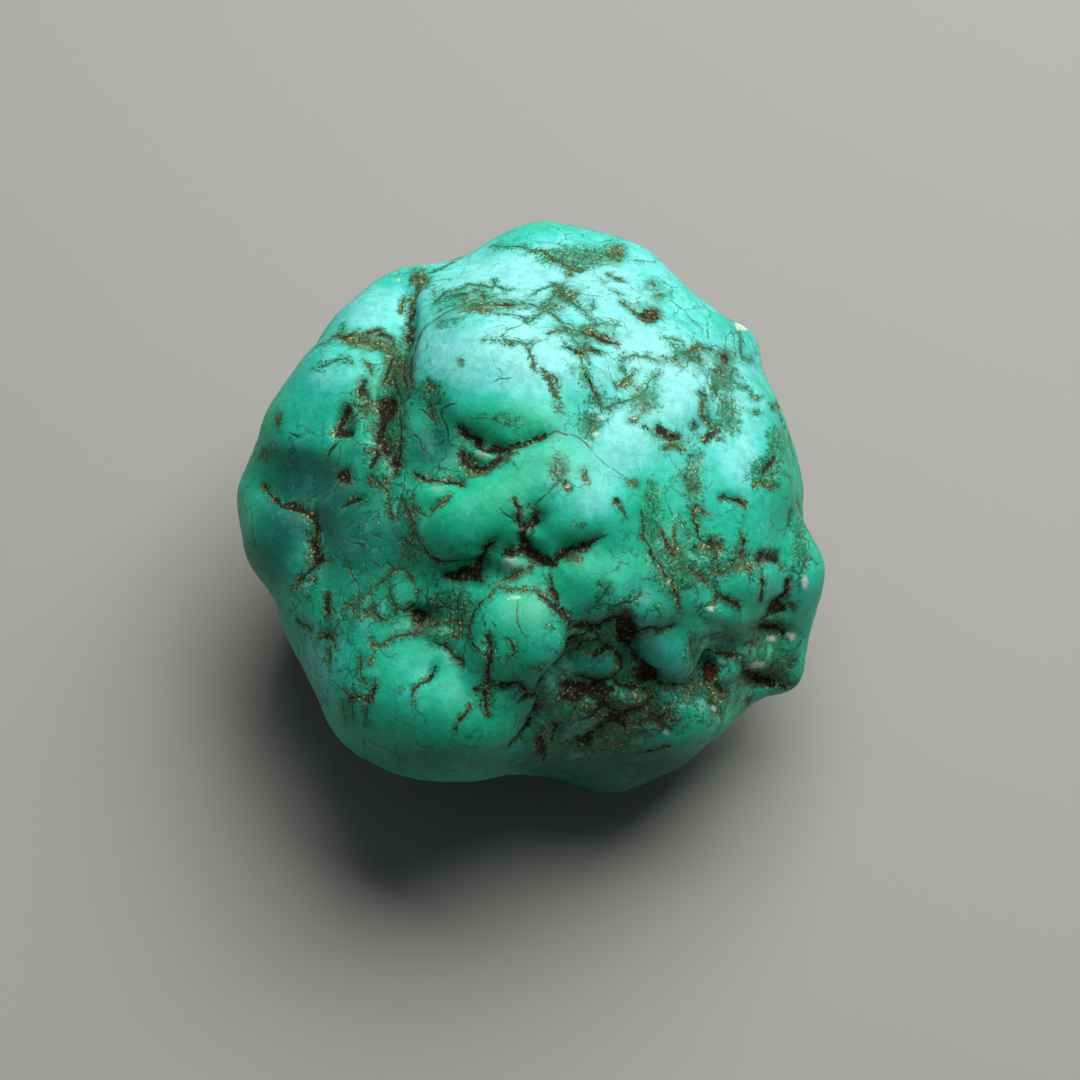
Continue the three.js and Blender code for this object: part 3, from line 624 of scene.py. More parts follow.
STAINS = {  # by kind: u, v, half width, half height, in mm
    "dark": (  # solid matrix in a pit or a wide fold
        (-15.3, 13.2, 0.9, 1.2), (-25.0, 3.8, 0.8, 0.35), (-22.4, -1.9, 0.8, 0.5),
        (-19.6, 6.3, 0.6, 0.7), (-12.0, -7.6, 0.8, 0.5), (-7.0, -3.6, 0.9, 0.35), (8.5, -8.2, 0.7, 0.6),
        (8.7, -9.5, 0.8, 1.2), (10.5, -13.4, 1.2, 0.6), (3.3, -15.8, 1.0, 0.5), (3.6, -14.6, 0.5, 0.3),
        (6.3, -15.0, 0.6, 0.35), (16.9, -13.1, 0.7, 1.25), (23.8, -6.8, 0.8, 0.7),
        (23.0, -8.9, 0.9, 0.2), (19.3, -11.5, 0.6, 0.3), (22.9, -14.2, 1.2, 0.2),
        (15.6, -0.7, 0.45, 0.4), (10.9, 22.5, 0.8, 0.6), (18.5, 18.1, 0.45, 0.55),
        (12.2, 10.9, 0.5, 0.4), (7.7, 3.9, 0.16, 0.16), (15.4, 11.6, 0.16, 0.16),
        (-17.6, 15.7, 0.4, 0.4), (4.4, -20.2, 0.7, 0.4), (7.4, -17.9, 1.2, 0.45),
        (0.2, -20.6, 0.5, 1.2), (-3.2, 23.6, 1.0, 0.2),
    ),
    "ochre": (  # olive and golden matrix
        (-12.1, 26.1, 0.8, 0.7), (-6.0, 23.1, 1.3, 0.3), (-7.8, 17.8, 0.25, 0.25),
        (7.6, 28.7, 0.8, 0.7), (11.4, 25.6, 0.35, 0.3), (12.1, 24.5, 0.25, 0.2), (8.3, 17.0, 0.22, 0.2),
        (13.4, 18.1, 0.25, 0.2), (12.5, 18.3, 0.12, 0.1), (8.8, 15.8, 0.4, 0.3),
        (5.4, 23.4, 0.14, 0.14), (21.7, 14.3, 0.25, 0.2), (21.5, 12.7, 0.18, 0.12),
        (18.0, 10.1, 0.26, 0.24), (9.4, 12.0, 0.4, 0.3), (10.5, 11.3, 0.24, 0.2), (9.3, 5.7, 0.36, 0.3),
        (3.9, 1.5, 0.16, 0.1), (8.0, 3.2, 0.2, 0.25), (-7.4, 7.9, 0.7, 0.7), (20.2, 0.2, 0.2, 0.3),
        (21.2, -2.8, 0.28, 0.24), (19.0, 4.2, 0.2, 0.16), (16.2, -3.6, 0.3, 0.4),
        (11.0, 4.0, 0.24, 0.2), (12.2, 0.6, 0.16, 0.26), (18.3, -15.6, 0.4, 0.3),
        (24.2, -6.6, 0.3, 0.25), (-23.0, -3.5, 0.3, 0.2), (-24.7, -4.8, 0.3, 0.2),
        (3.2, 17.0, 0.1, 0.1), (23.5, 13.4, 0.3, 0.2), (2.9, 26.6, 0.3, 0.25), (-14.0, -15.0, 0.3, 0.2),
        (-12.6, -16.4, 0.22, 0.3), (0.0, -12.8, 0.3, 0.16), (1.4, -8.7, 0.2, 0.1),
        (-26.0, 12.0, 0.3, 0.5), (-27.5, 8.6, 0.3, 0.3), (0.6, 23.3, 0.5, 0.25), (2.8, 24.5, 0.7, 0.35),
        (2.4, 21.1, 0.4, 0.2), (4.9, 20.8, 0.6, 0.25), (6.6, 20.2, 0.7, 0.25), (4.3, 18.7, 0.4, 0.25),
        (-18.6, 20.2, 1.0, 0.35), (-16.4, 19.6, 1.1, 0.4), (-15.0, 19.0, 0.5, 0.5),
        (-5.6, 23.6, 1.2, 0.22),
    ),
    "green": (  # green-stained turquoise with crumbs of matrix
        (4.6, 16.6, 0.3, 0.6), (5.7, 14.0, 0.5, 0.4), (3.4, 28.3, 2.6, 0.8), (-7.4, 24.5, 1.2, 0.2),
        (-9.7, 21.8, 0.3, 0.22), (-8.4, 21.9, 0.2, 0.14), (5.0, 11.6, 0.9, 0.9), (1.9, 7.0, 0.6, 1.0),
        (15.3, 6.0, 0.6, 2.2), (11.4, 1.0, 0.5, 2.6), (12.6, -2.8, 1.2, 2.0), (22.5, 6.8, 1.2, 1.3),
        (23.6, 9.4, 0.7, 1.2), (26.0, -0.4, 0.4, 1.8), (-11.0, 14.8, 1.1, 1.0), (-14.0, 17.0, 1.1, 2.4),
        (6.4, -5.2, 0.6, 0.7), (17.3, -0.5, 0.9, 0.8), (14.6, -3.4, 1.6, 1.2), (-12.9, -0.6, 0.8, 1.2),
        (10.5, 14.0, 1.2, 0.9), (-3.0, 12.0, 0.6, 0.3), (15.4, -11.4, 0.7, 1.6), (18.6, -9.4, 0.7, 0.4),
        (24.4, -12.6, 1.1, 1.2), (9.0, -18.8, 1.2, 1.0), (-9.0, -6.8, 2.0, 1.3), (18.4, 15.8, 1.0, 1.0),
        (19.0, 12.2, 0.8, 1.4), (4.6, -9.3, 0.9, 0.7), (-5.3, -15.6, 0.6, 1.0),
    ),
    "pale": (  # white chips of host rock
        (20.2, 21.4, 0.65, 0.5), (26.6, -4.2, 0.3, 0.6), (25.2, -9.7, 0.45, 0.32),
        (21.9, -12.6, 0.7, 0.45), (17.2, -6.9, 0.5, 0.22), (26.4, -13.9, 0.25, 0.5),
        (6.2, 12.2, 0.2, 0.2), (5.6, 10.6, 0.25, 0.2), (9.4, 12.2, 0.25, 0.15),
        (17.6, -16.9, 0.35, 0.3), (-10.3, 24.9, 0.1, 0.1), (-14.1, 26.0, 0.14, 0.14),
        (-17.7, -7.7, 0.3, 0.2), (-2.2, -5.8, 0.9, 0.14), (12.7, -19.2, 0.3, 0.35),
        (12.8, -4.2, 0.14, 0.3), (23.4, -9.9, 0.6, 0.26), (2.8, 5.5, 0.14, 0.1),
    ),
    "pebble": (  # small grey-green pebbles
        (-6.0, 8.7, 0.9, 0.65), (-3.0, -2.4, 1.0, 0.85), (-1.7, 2.6, 0.4, 0.4), (8.0, -17.5, 0.6, 0.4),
        (-6.7, 24.4, 0.5, 0.3), (-10.3, 5.2, 0.7, 0.3),
    ),
    "rust": (  # rust-red iron stone in a pit
        (16.9, -13.2, 0.55, 0.75), (20.3, -12.1, 0.3, 0.3),
    ),
}
ZONES = {  # by what they change: u, v, half width and half height in mm, strength
    "busy": (  # matrix lines and patches run everywhere
        (8.4, -9.4, 1.8, 3.6, 0.8), (4.4, -15.4, 4.0, 1.8, 0.9), (10.4, -14.4, 2.4, 1.4, 0.7),
        (14.4, -14.8, 2.0, 1.2, 0.6), (3.0, -20.0, 3.4, 2.6, 0.8), (2.8, -11.4, 1.0, 3.2, 0.7),
        (8.2, -18.8, 2.6, 1.8, 0.9), (-22.8, 1.0, 1.2, 4.0, 0.6), (-15.0, 12.0, 2.0, 3.0, 0.5),
        (-14.4, 16.5, 1.6, 3.0, 0.75), (-16.0, 9.0, 3.0, 4.0, 0.55), (-18.5, 13.5, 1.6, 2.4, 0.6),
        (17.6, 14.0, 2.4, 4.0, 0.65), (11.0, 14.0, 1.5, 2.2, 0.5), (15.2, 17.8, 3.4, 1.6, 0.4),
        (15.5, 6.6, 1.0, 2.4, 0.4), (16.8, -1.8, 2.4, 2.2, 0.6), (13.0, 10.2, 2.0, 1.2, 0.5),
        (12.2, -1.0, 1.6, 3.4, 0.1), (-8.6, -7.6, 3.2, 2.4, 0.75), (-12.0, -8.2, 2.0, 1.6, 0.6),
        (-6.0, 24.2, 3.0, 1.0, 0.25), (2.4, 23.6, 2.6, 2.0, 0.3), (5.2, 19.6, 2.4, 1.4, 0.25),
        (17.0, -15.5, 3.0, 2.6, 0.9), (23.0, -11.5, 3.2, 3.2, 0.7), (16.4, -10.4, 1.8, 1.8, 0.5),
        (11.6, -17.2, 2.4, 2.0, 0.7), (26.2, -1.0, 1.0, 2.6, 0.4), (21.5, -2.2, 3.0, 2.0, 0.5),
        (-17.4, -13.8, 1.6, 2.4, 0.3), (-20.8, -9.2, 2.0, 2.6, 0.5), (-18.4, -7.2, 2.4, 1.8, 0.55),
        (-23.6, -4.4, 1.6, 2.0, 0.6), (-24.0, -0.4, 1.0, 1.4, 0.5), (2.4, 6.8, 1.8, 1.4, 0.3),
        (5.2, 10.8, 1.3, 1.8, 0.4), (6.0, 28.0, 3.4, 1.4, 0.35), (10.4, 23.4, 2.6, 1.6, 0.3),
        (5.0, -10.2, 2.6, 1.8, 0.5), (-13.6, 1.6, 1.4, 3.4, 0.4), (22.6, 7.0, 1.4, 2.0, 0.35),
        (-5.4, -15.6, 1.0, 1.6, 0.4), (18.8, 18.2, 1.6, 1.4, 0.3), (6.0, -17.6, 4.0, 1.6, 0.6),
        (12.5, -17.6, 3.0, 1.4, 0.4), (7.0, -20.8, 3.0, 1.2, 0.4), (14.0, -1.0, 1.6, 4.0, 0.35),
        (-17.2, 20.1, 2.6, 1.0, 0.8), (-7.4, 24.4, 2.6, 0.7, 0.35), (-17.5, -1.0, 3.4, 5.0, 0.45),
        (-10.4, 8.4, 2.4, 2.0, 0.4),
    ),
    "calm": (  # smooth, pale faces with hardly a line on them
        (13.7, 13.5, 2.0, 1.9, 1.0), (-5.6, 19.0, 4.0, 3.4, 0.8), (-2.0, 14.6, 4.0, 2.0, 0.7),
        (-2.0, 27.0, 4.4, 1.6, 0.8), (-17.6, 23.2, 3.0, 1.6, 0.8), (-23.0, 15.0, 3.0, 2.6, 0.8),
        (-6.4, 3.4, 4.0, 2.6, 0.8), (4.6, 2.6, 3.6, 3.0, 0.7), (18.4, 8.2, 2.2, 3.0, 0.8),
        (21.6, 11.8, 2.4, 2.4, 0.7), (-13.0, -12.2, 2.6, 2.0, 0.7), (-9.2, -16.0, 3.0, 2.6, 0.7),
        (3.8, -5.0, 2.4, 2.0, 0.8), (-2.0, -8.0, 3.0, 2.0, 0.6), (12.8, -11.6, 2.4, 2.4, 0.9),
        (-25.0, -1.0, 2.0, 3.4, 0.6), (10.0, 19.4, 3.2, 1.0, 0.8), (9.0, 9.4, 2.2, 2.0, 0.5),
    ),
    "bluer_stone_and_painted_highlight": (  # bluer stone, and a painted highlight that makes the lit tops paler, above 0, or greener and deeper, below it
        (-3.0, 19.0, 7.0, 6.0, 0.95), (2.0, 27.0, 14.0, 4.0, 1.2), (9.0, 18.5, 8.0, 5.0, 0.8),
        (18.0, 15.0, 7.0, 7.0, 0.9), (8.0, 9.0, 5.0, 4.0, 0.7), (20.5, 7.5, 3.6, 4.0, 0.6),
        (5.0, 3.6, 3.0, 2.6, 0.5), (-10.0, 18.0, 3.0, 4.0, 0.4), (-17.5, 22.5, 5.0, 4.0, 0.8),
        (-23.0, 13.0, 4.0, 4.0, 0.1), (-20.0, 0.0, 3.5, 4.0, 0.1), (22.0, -3.6, 4.0, 3.0, 0.2),
        (27.0, -6.0, 2.0, 3.0, 0.4), (-13.0, -15.0, 5.0, 4.0, 0.3), (-22.0, -12.0, 3.0, 5.0, 0.4),
        (9.0, -8.0, 3.6, 3.4, 0.35), (13.0, -12.0, 5.0, 4.0, 0.4), (3.0, -12.0, 4.0, 4.0, 0.2),
        (-4.0, 12.0, 6.0, 2.0, -0.4), (-6.0, 2.0, 4.5, 4.0, -0.2), (12.4, -1.0, 2.4, 5.0, -0.2),
        (24.5, 9.0, 2.0, 4.0, -0.4), (-21.0, 16.6, 3.4, 2.2, 0.6), (11.0, -20.0, 5.0, 2.4, 0.3),
    ),
    "deep_stone_and_painted_shade": (  # deeper blue-teal stone and painted shade in hollows and low down, above 0, or painted light, brighter, below it
        (-24.5, 6.8, 4.5, 3.2, 0.6), (-18.5, 0.0, 4.5, 6.0, 0.75), (-26.5, -1.0, 3.4, 5.0, 0.7),
        (8.0, -15.0, 8.5, 6.0, 0.9), (10.0, -23.0, 10.0, 4.0, 1.0), (12.6, -9.5, 4.0, 5.0, 0.5),
        (-19.5, -8.4, 2.5, 3.4, 0.4), (-10.8, 10.6, 2.6, 3.0, 0.45), (-20.5, 5.5, 2.5, 2.5, 0.5),
        (19.5, -9.6, 3.0, 2.0, 0.5), (0.5, -19.5, 2.5, 4.0, 0.9), (-12.0, -22.0, 12.0, 2.0, 0.6),
        (-8.5, -1.4, 4.0, 1.6, 0.4), (10.0, -5.5, 4.0, 2.5, 0.3), (-19.0, 22.0, 4.0, 4.0, 0.2),
        (-10.4, 8.2, 3.0, 2.4, 0.5), (8.0, 8.0, 5.0, 3.2, 0.38), (-25.0, 3.0, 3.2, 2.6, 0.7),
        (-2.0, -7.4, 4.0, 2.6, 0.28), (25.0, 8.0, 2.0, 5.0, 0.3), (6.0, -23.0, 6.0, 2.4, 0.5),
        (12.5, -11.6, 2.8, 2.4, -0.75), (10.8, -7.6, 1.8, 1.6, -0.4), (5.8, -12.6, 2.6, 1.5, -0.4),
        (8.8, -15.8, 2.2, 1.0, -0.3), (11.0, -20.0, 4.2, 1.8, -0.7), (17.5, -17.0, 4.0, 2.4, -0.9),
        (-20.5, -13.2, 3.0, 3.0, -0.45), (-15.5, -17.6, 3.4, 2.4, -0.55), (20.8, -6.0, 3.4, 2.0, -0.45),
        (15.6, -10.0, 2.0, 2.6, -0.35), (-5.0, 23.4, 3.0, 1.4, -0.4), (17.5, 18.6, 4.0, 2.2, -0.4),
    ),
}

SPACING = 0.25  # mm between the points that a drawn line is laid on the stone with
LONGEST_STEP = 1.6  # mm; past this, a line has jumped from one lobe to the next
WORN_TO = 0.78  # of its drawn width, the matrix that shows at the surface
FELT = 0.22  # mm; a line with less than this half width is too fine to be a groove
THIN = 0.36  # mm; up to this half width, a line also has a sharp core
THICKEST_LINE = 0.09  # mm; half the width of that core
WANDER = 0.22  # mm that a drawn line strays from its route, so that no stretch is straight
WANDERS_PER_MM = 1.1
SHORTEST_STEP = 1e-4  # mm
LINE_TIP = 0.45  # of a line's width that is left at its ends
ON_FRONT = 0.3  # a place that faces the eye this far takes the placed stains
FAR = 6.0  # mm; distances are measured up to this
WANDER_SEED = 7
noise.seed_set(WANDER_SEED)


def laid_on_stone(route):
    """The points, in mm, where a charted route lies on the stone's surface."""
    found = []
    for (u0, v0), (u1, v1) in zip(route, route[1:]):
        steps = max(1, round(math.hypot(u1 - u0, v1 - v0) / SPACING))
        for i in range(steps + 1):
            u = u0 + (u1 - u0) * i / steps
            v = v0 + (v1 - v0) * i / steps
            stray = noise.noise_vector(Vector((u, v, 0)) * WANDERS_PER_MM) * WANDER
            on_plane = datum + (across * (u + stray.x) + up_face * (v + stray.y)) * MM
            hit, place, _, _ = stone.ray_cast(eye, (on_plane - eye).normalized())
            if hit:
                found.append(place / MM)
    return np.array(found)


def along_line(line, near, up):
    """For each place near a line, all in mm: its distance, its side, and its share of the length."""
    start = line[:-1]
    step = line[1:] - start
    length = np.linalg.norm(step, axis=1)
    kept = (length > SHORTEST_STEP) & (length < LONGEST_STEP)
    walked = np.concatenate([[0], np.cumsum(length)])
    share = np.full(len(near), 0.5)
    side = np.ones(len(near))
    distance = np.full(len(near), FAR)
    for i in np.flatnonzero(kept):
        from_start = near - start[i]
        t = np.clip(from_start @ step[i] / length[i] ** 2, 0, 1)
        gap = np.linalg.norm(from_start - t[:, None] * step[i], axis=1)
        closer = gap < distance
        distance[closer] = gap[closer]
        share[closer] = (walked[i] + t[closer] * length[i]) / walked[-1]
        turn = np.einsum("ij,ij->i", np.cross(step[i], from_start[closer]), up[closer])
        side[closer] = np.sign(turn)
    return distance, side, share


stone.data.update()
bpy.context.view_layer.update()
places = per_vertex(stone.data, "co") / MM
normals = per_vertex(stone.data, "normal")
chart_u, chart_v, _ = seen_from_eye(places * MM)
front = facing_eye(places * MM, normals)
count = len(places)
DISTANCES = ("dark", "ochre", "green", "pale", "pebble", "rust", "line_away")
AMOUNTS = ("line_across", "line_width", "line_green", "busy", "calm", "bluer_stone_and_painted_highlight", "deep_stone_and_painted_shade")
fields = {name: np.full(count, FAR) for name in DISTANCES}
fields.update({name: np.zeros(count) for name in AMOUNTS})
carve = np.zeros(count)
SHOULDER = {"fold": 0.8, "vein": 0.35}  # mm over which the stone rises again beside a crease


def near_line(line):
    """The vertices in the box around a line, which are the only ones that it can mark."""
    lowest = line.min(axis=0) - FAR
    highest = line.max(axis=0) + FAR
    return np.flatnonzero(((places > lowest) & (places < highest)).all(axis=1))


for kind, greenness, shoulder, lines in (
    ("dark", 0.1, "fold", FOLDS),
    ("dark", 0.2, "vein", MATRIX_VEINS),
    ("ochre", 0.4, "vein", OCHRE_VEINS),
    ("green", 0.85, "vein", GREEN_SEAMS),
    (None, None, None, HAIRLINES),
):
    for half_width, third, route in lines:
        line = laid_on_stone(route)
        near = near_line(line)
        distance, side, share = along_line(line, places[near], normals[near])
        swell = np.sqrt(np.sin(np.pi * np.clip(share, 0.02, 0.98)))
        taper = LINE_TIP + (1 - LINE_TIP) * swell
        if kind:
            edge = distance - half_width * taper * WORN_TO
            fields[kind][near] = np.minimum(fields[kind][near], edge)
        if kind and half_width > FELT:
            cut = third * taper * np.exp(-np.maximum(edge, 0) / SHOULDER[shoulder])
            carve[near] = np.maximum(carve[near], cut)
        if half_width <= THIN:
            closer = distance < fields["line_away"][near]
            chosen = near[closer]
            fields["line_away"][chosen] = distance[closer]
            fields["line_across"][chosen] = (distance * side)[closer]
            fields["line_width"][chosen] = (min(half_width, THICKEST_LINE) * taper)[closer]
            fields["line_green"][chosen] = greenness if kind else third

on_front = front > ON_FRONT
for kind, stains in STAINS.items():
    for u, v, half_width, half_height in stains:
        size = np.hypot((chart_u - u) / half_width, (chart_v - v) / half_height)
        edge = np.where(on_front, (size - 1) * min(half_width, half_height), FAR)
        fields[kind] = np.minimum(fields[kind], edge)
# The deep zones paint shade into the colour, in hollows and low down, and painted light where they fall
# below 0. The blue zones paint a highlight on the lit tops.
for name, zones in ZONES.items():
    for u, v, half_width, half_height, strength in zones:
        size = ((chart_u - u) / half_width) ** 2 + ((chart_v - v) / half_height) ** 2
        fields[name] += strength * np.exp(-size) * front

# ---- The sides, back and underside --------------------------------------------------------------
# The same stone goes on out of sight. There its veins follow the wandering net measured above, wide
# in the hollows and fading out over the swellings, with stains and busy patches in between.
DRIFT_WIDTH = 9.0  # mm; from a stretch with many veins to one with few
PATCH_WIDTH = 6.0  # mm; the same for stains and broken patches
APART = Vector((40, 0, 0))  # keeps the two patterns from running together
NET_HALF_WIDTH = 0.25  # mm; of its widest veins. Where it fades out it is as far below 0
NET_DEPTH = 0.9  # mm
NET_SHOULDER = 0.9  # mm
FLAT_FROM = 0.2  # mm above the floor, where the worn flat gives way to carved stone
FLAT_TO = 1.8


def drifting(width, start):
    """Slow noise over the stone, from about -1 to 1."""
    return np.array([noise.fractal(Vector(p) / width + start, 1.0, 2.0, 2) for p in places])


net = np.empty(count)
stone.data.attributes["net"].data.foreach_get("value", net)
net /= MM
drift = drifting(DRIFT_WIDTH, Vector((0, 0, 0)))
patch = drifting(PATCH_WIDTH, APART)
hidden = 1 - smoothstep(0.35, 0.9, front)
net_width = NET_HALF_WIDTH * (2 * smoothstep(-0.1, 0.45, drift) - 1)
behind = np.where(hidden > 0.02, net - net_width, FAR) + (1 - hidden) * 2
fields["dark"] = np.minimum(fields["dark"], behind + 0.15)
fields["ochre"] = np.minimum(fields["ochre"], behind + 0.4 - 0.5 * patch)
fields["green"] = np.minimum(fields["green"], behind - 0.2)
fields["busy"] += hidden * smoothstep(0.05, 0.45, patch) * 0.9
fields["calm"] += hidden * smoothstep(0.0, 0.4, -patch) * 0.8
fields["bluer_stone_and_painted_highlight"] += hidden * 0.9 * drift
fields["deep_stone_and_painted_shade"] += hidden * 0.35 * smoothstep(0.0, 0.5, -drift)
sinking = hidden * NET_DEPTH * smoothstep(-0.1, 0.4, drift)
carve = np.maximum(carve, sinking * np.exp(-np.maximum(behind, 0) / NET_SHOULDER))

above_flat = smoothstep(FLAT_FROM, FLAT_TO, places[:, 2])
sunk = places - normals * (carve * above_flat)[:, None]
set_places(stone.data, sunk * MM)
for name, values in fields.items():
    attribute = stone.data.attributes.new(name, "FLOAT", "POINT")
    attribute.data.foreach_set("value", np.ascontiguousarray(values, dtype=np.float32))
stone.data.attributes.remove(stone.data.attributes["net"])


# ---- The stone's finish -------------------------------------------------------------------------
# Turquoise, tumbled to a waxy polish that gives soft broad highlights; limonite matrix, softer and
# worn below it, stays dull and grainy and speckles brown, olive and gold at its ragged edges.
def srgb(code):
    """An sRGB hex colour as linear red, green, blue and alpha."""
    channels = [int(code[i : i + 2], 16) / 255 for i in (1, 3, 5)]
    return (*(c / 12.92 if c <= 0.04045 else ((c + 0.055) / 1.055) ** 2.4 for c in channels), 1.0)


RANGE = "ShaderNodeMapRange"
MIX = "ShaderNodeMixRGB"
CELLS = "ShaderNodeTexVoronoi"
SMOOTH = {"interpolation_type": "SMOOTHSTEP"}
GRADE_BLUR = 0.02  # of a grain's shade, over which one colour gives way to the next
TURQUOISE_IOR = 1.61
POROUS_SHINE = 0.28  # turquoise is porous, so its polish shines less than its IOR alone would
POLISHED = 0.5
UNPOLISHED = 0.85

turquoise.use_nodes = True
skin = turquoise.node_tree
skin.nodes.clear()
in_metres = add_node(skin, "ShaderNodeTexCoord", out="Object")
spot = add_node(skin, VECTOR_MATH, {0: in_metres, "Scale": 1 / MM}, operation="SCALE")

CLOUDS = {  # name: width in mm, detail, roughness, seed
    "drift": (9.0, 3.0, 0.5, 1.0),
    "mottle": (2.4, 5.0, 0.6, 2.0),
    "fray": (1.1, 5.0, 0.65, 3.0),
    "crumb": (0.42, 3.0, 0.6, 4.0),
    "grain": (0.22, 2.0, 0.5, 5.0),
    "tone": (0.8, 3.0, 0.6, 6.0),
}
cloud = {}
for name, (width, detail, roughness, seed) in CLOUDS.items():
    cloud[name] = add_node(
        skin, NOISE,
        {"Vector": spot, "W": seed, "Scale": 1 / width, "Detail": detail, "Roughness": roughness},
        noise_dimensions="4D",
    )
field = {name: add_node(skin, "ShaderNodeAttribute", out="Fac", attribute_name=name) for name in fields}


def weighed(value, centre, weight):
    """weight times how far a value is from its centre."""
    from_centre = add_node(skin, MATH, (value, centre), operation="SUBTRACT")
    return add_node(skin, MATH, (from_centre, weight), operation="MULTIPLY")


def grown(edge, reach, chance, certain=0.0):
    """Grains of matrix: all of them inside an edge, then fewer and fewer out to a reach past it."""
    past_certain = add_node(skin, MATH, (edge, certain), operation="SUBTRACT")
    share = add_node(skin, MATH, (past_certain, reach), operation="DIVIDE")
    odds = add_node(skin, MATH, (share, chance), operation="ADD")
    return add_node(skin, RANGE, (odds, 0.94, 1.0, 1.0, 0.0), **SMOOTH)


def changing(value, start, end, below, above):
    """A colour that goes from one to another as value goes from start to end."""
    amount = add_node(skin, RANGE, (value, start, end), **SMOOTH)
    return add_node(skin, MIX, (amount, below, above))


def graded(value, steps):
    """Picks a colour by value: steps are (value from which it holds, hex colour), the first from 0."""
    colour = srgb(steps[0][1])
    for start, code in steps[1:]:
        colour = changing(value, start - GRADE_BLUR, start + GRADE_BLUR, colour, srgb(code))
    return colour


# Every edge of matrix is ragged: a distance from it has a share of this added. In mm.
coarse_fray = weighed(cloud["fray"], 0.5, 2.6)
fine_fray = weighed(cloud["crumb"], 0.5, 1.1)
fray = add_node(skin, MATH, (coarse_fray, fine_fray), operation="ADD")
FRAYED_BY = {"dark": 0.55, "ochre": 0.5, "green": 0.6, "pale": 0.4}
edge = {
    name: add_node(skin, MATH, (fray, share, field[name]), operation="MULTIPLY_ADD")
    for name, share in FRAYED_BY.items()
}

# The matrix is made of grains about 0.2 mm across. Each has its own chance and shade, 0 to 1.
GRAIN = 0.2  # mm
OLIVE_GRAINS = (
    (0, "#1A2A16"), (0.18, "#1C5034"), (0.36, "#3A6236"),
    (0.54, "#4A5024"), (0.79, "#746C30"), (0.95, "#B8AE70"),
)
GREEN_GRAINS = ((0, "#04462F"), (0.3, "#0A6A4A"), (0.6, "#1A8A64"), (0.88, "#4C7436"), (0.97, "#9A9A58"))
DARK_GRAINS = ((0, "#0C0D06"), (0.45, "#19190B"), (0.7, "#312D12"), (0.87, "#5A4E20"), (0.96, "#86743A"))
grains = add_node(skin, CELLS, {"Vector": spot, "Scale": 1 / GRAIN}, out="Color", feature="F1")
chance = add_node(skin, "ShaderNodeSeparateColor", (grains,), out=0)
shade = add_node(skin, "ShaderNodeSeparateColor", (grains,), out=1)
olive_grains = graded(shade, OLIVE_GRAINS)
green_grains = graded(shade, GREEN_GRAINS)
dark_grains = graded(shade, DARK_GRAINS)

# Where veins crowd together the stone is broken into small pebbles with seams of matrix between
# them. A wider net of the same kind shows here and there as a craze of fine green cracks. Both nets
# are bent so that no seam is straight.
PEBBLE = 1.5  # mm
CRAZE = 3.4  # mm
BEND_WIDTH = 1.4  # mm
BEND_BY = 2.2  # mm
bend = add_node(
    skin, NOISE,
    {"Vector": spot, "Scale": 1 / BEND_WIDTH, "Detail": 4.0, "Roughness": 0.6},
    out="Color",
)
bent = add_node(skin, VECTOR_MATH, (bend, (0.5, 0.5, 0.5)), operation="SUBTRACT")
bent = add_node(skin, VECTOR_MATH, {0: bent, "Scale": BEND_BY}, operation="SCALE")
bent = add_node(skin, VECTOR_MATH, (spot, bent), operation="ADD")
to_net = {}
for name, cell in (("seam", PEBBLE), ("crack", CRAZE)):
    in_cells = {"Vector": bent, "Scale": 1 / cell}
    to_edge = add_node(skin, CELLS, in_cells, out="Distance", feature="DISTANCE_TO_EDGE")
    to_net[name] = add_node(skin, MATH, (to_edge, cell), operation="MULTIPLY")
pebbles = add_node(skin, CELLS, {"Vector": bent, "Scale": 1 / PEBBLE}, out="Color", feature="F1")
pebble_shade = add_node(skin, "ShaderNodeSeparateColor", (pebbles,), out=2)

# How lively the stone is: next to veins and in busy zones it is broken, and in calm zones whole.
brown_near = add_node(skin, MATH, (field["dark"], field["ochre"]), operation="MINIMUM")
vein_near = add_node(skin, MATH, (brown_near, field["green"]), operation="MINIMUM")
lively = add_node(skin, MATH, (field["busy"], field["calm"]), operation="SUBTRACT")
by_a_vein = add_node(skin, RANGE, (vein_near, 0.1, 1.3, 0.4, 0.0), **SMOOTH)
liveliness = add_node(skin, MATH, (by_a_vein, lively), operation="ADD")
broken = add_node(skin, RANGE, (liveliness, 0.1, 1.1), **SMOOTH)

crumbling = weighed(cloud["crumb"], 0.5, 0.3)
ragged_crack = add_node(skin, MATH, (to_net["crack"], crumbling), operation="ADD")
crack = add_node(skin, RANGE, (ragged_crack, 0.0, 0.15, 0.9, 0.0), **SMOOTH)
for worn in (
    add_node(skin, RANGE, (cloud["mottle"], 0.42, 0.56), **SMOOTH),
    add_node(skin, RANGE, (lively, -0.5, 0.3, 0.1, 1.0), **SMOOTH),
):
    crack = add_node(skin, MATH, (crack, worn), operation="MULTIPLY")

widest_seam = add_node(skin, RANGE, (cloud["mottle"], 0.38, 0.62, 0.0, 0.22), **SMOOTH)
seam_width = add_node(skin, MATH, (broken, widest_seam), operation="MULTIPLY")
seam_edge = add_node(skin, MATH, (to_net["seam"], seam_width), operation="SUBTRACT")
seam_edge = add_node(skin, MATH, (seam_edge, weighed(cloud["crumb"], 0.5, 0.35)), operation="ADD")
seam = add_node(skin, RANGE, (seam_edge, -0.11, -0.01, 0.9, 0.0), **SMOOTH)
seam_stain = add_node(skin, RANGE, (seam_edge, -0.06, 0.34, weighed(broken, 0.0, 0.5), 0.0), **SMOOTH)

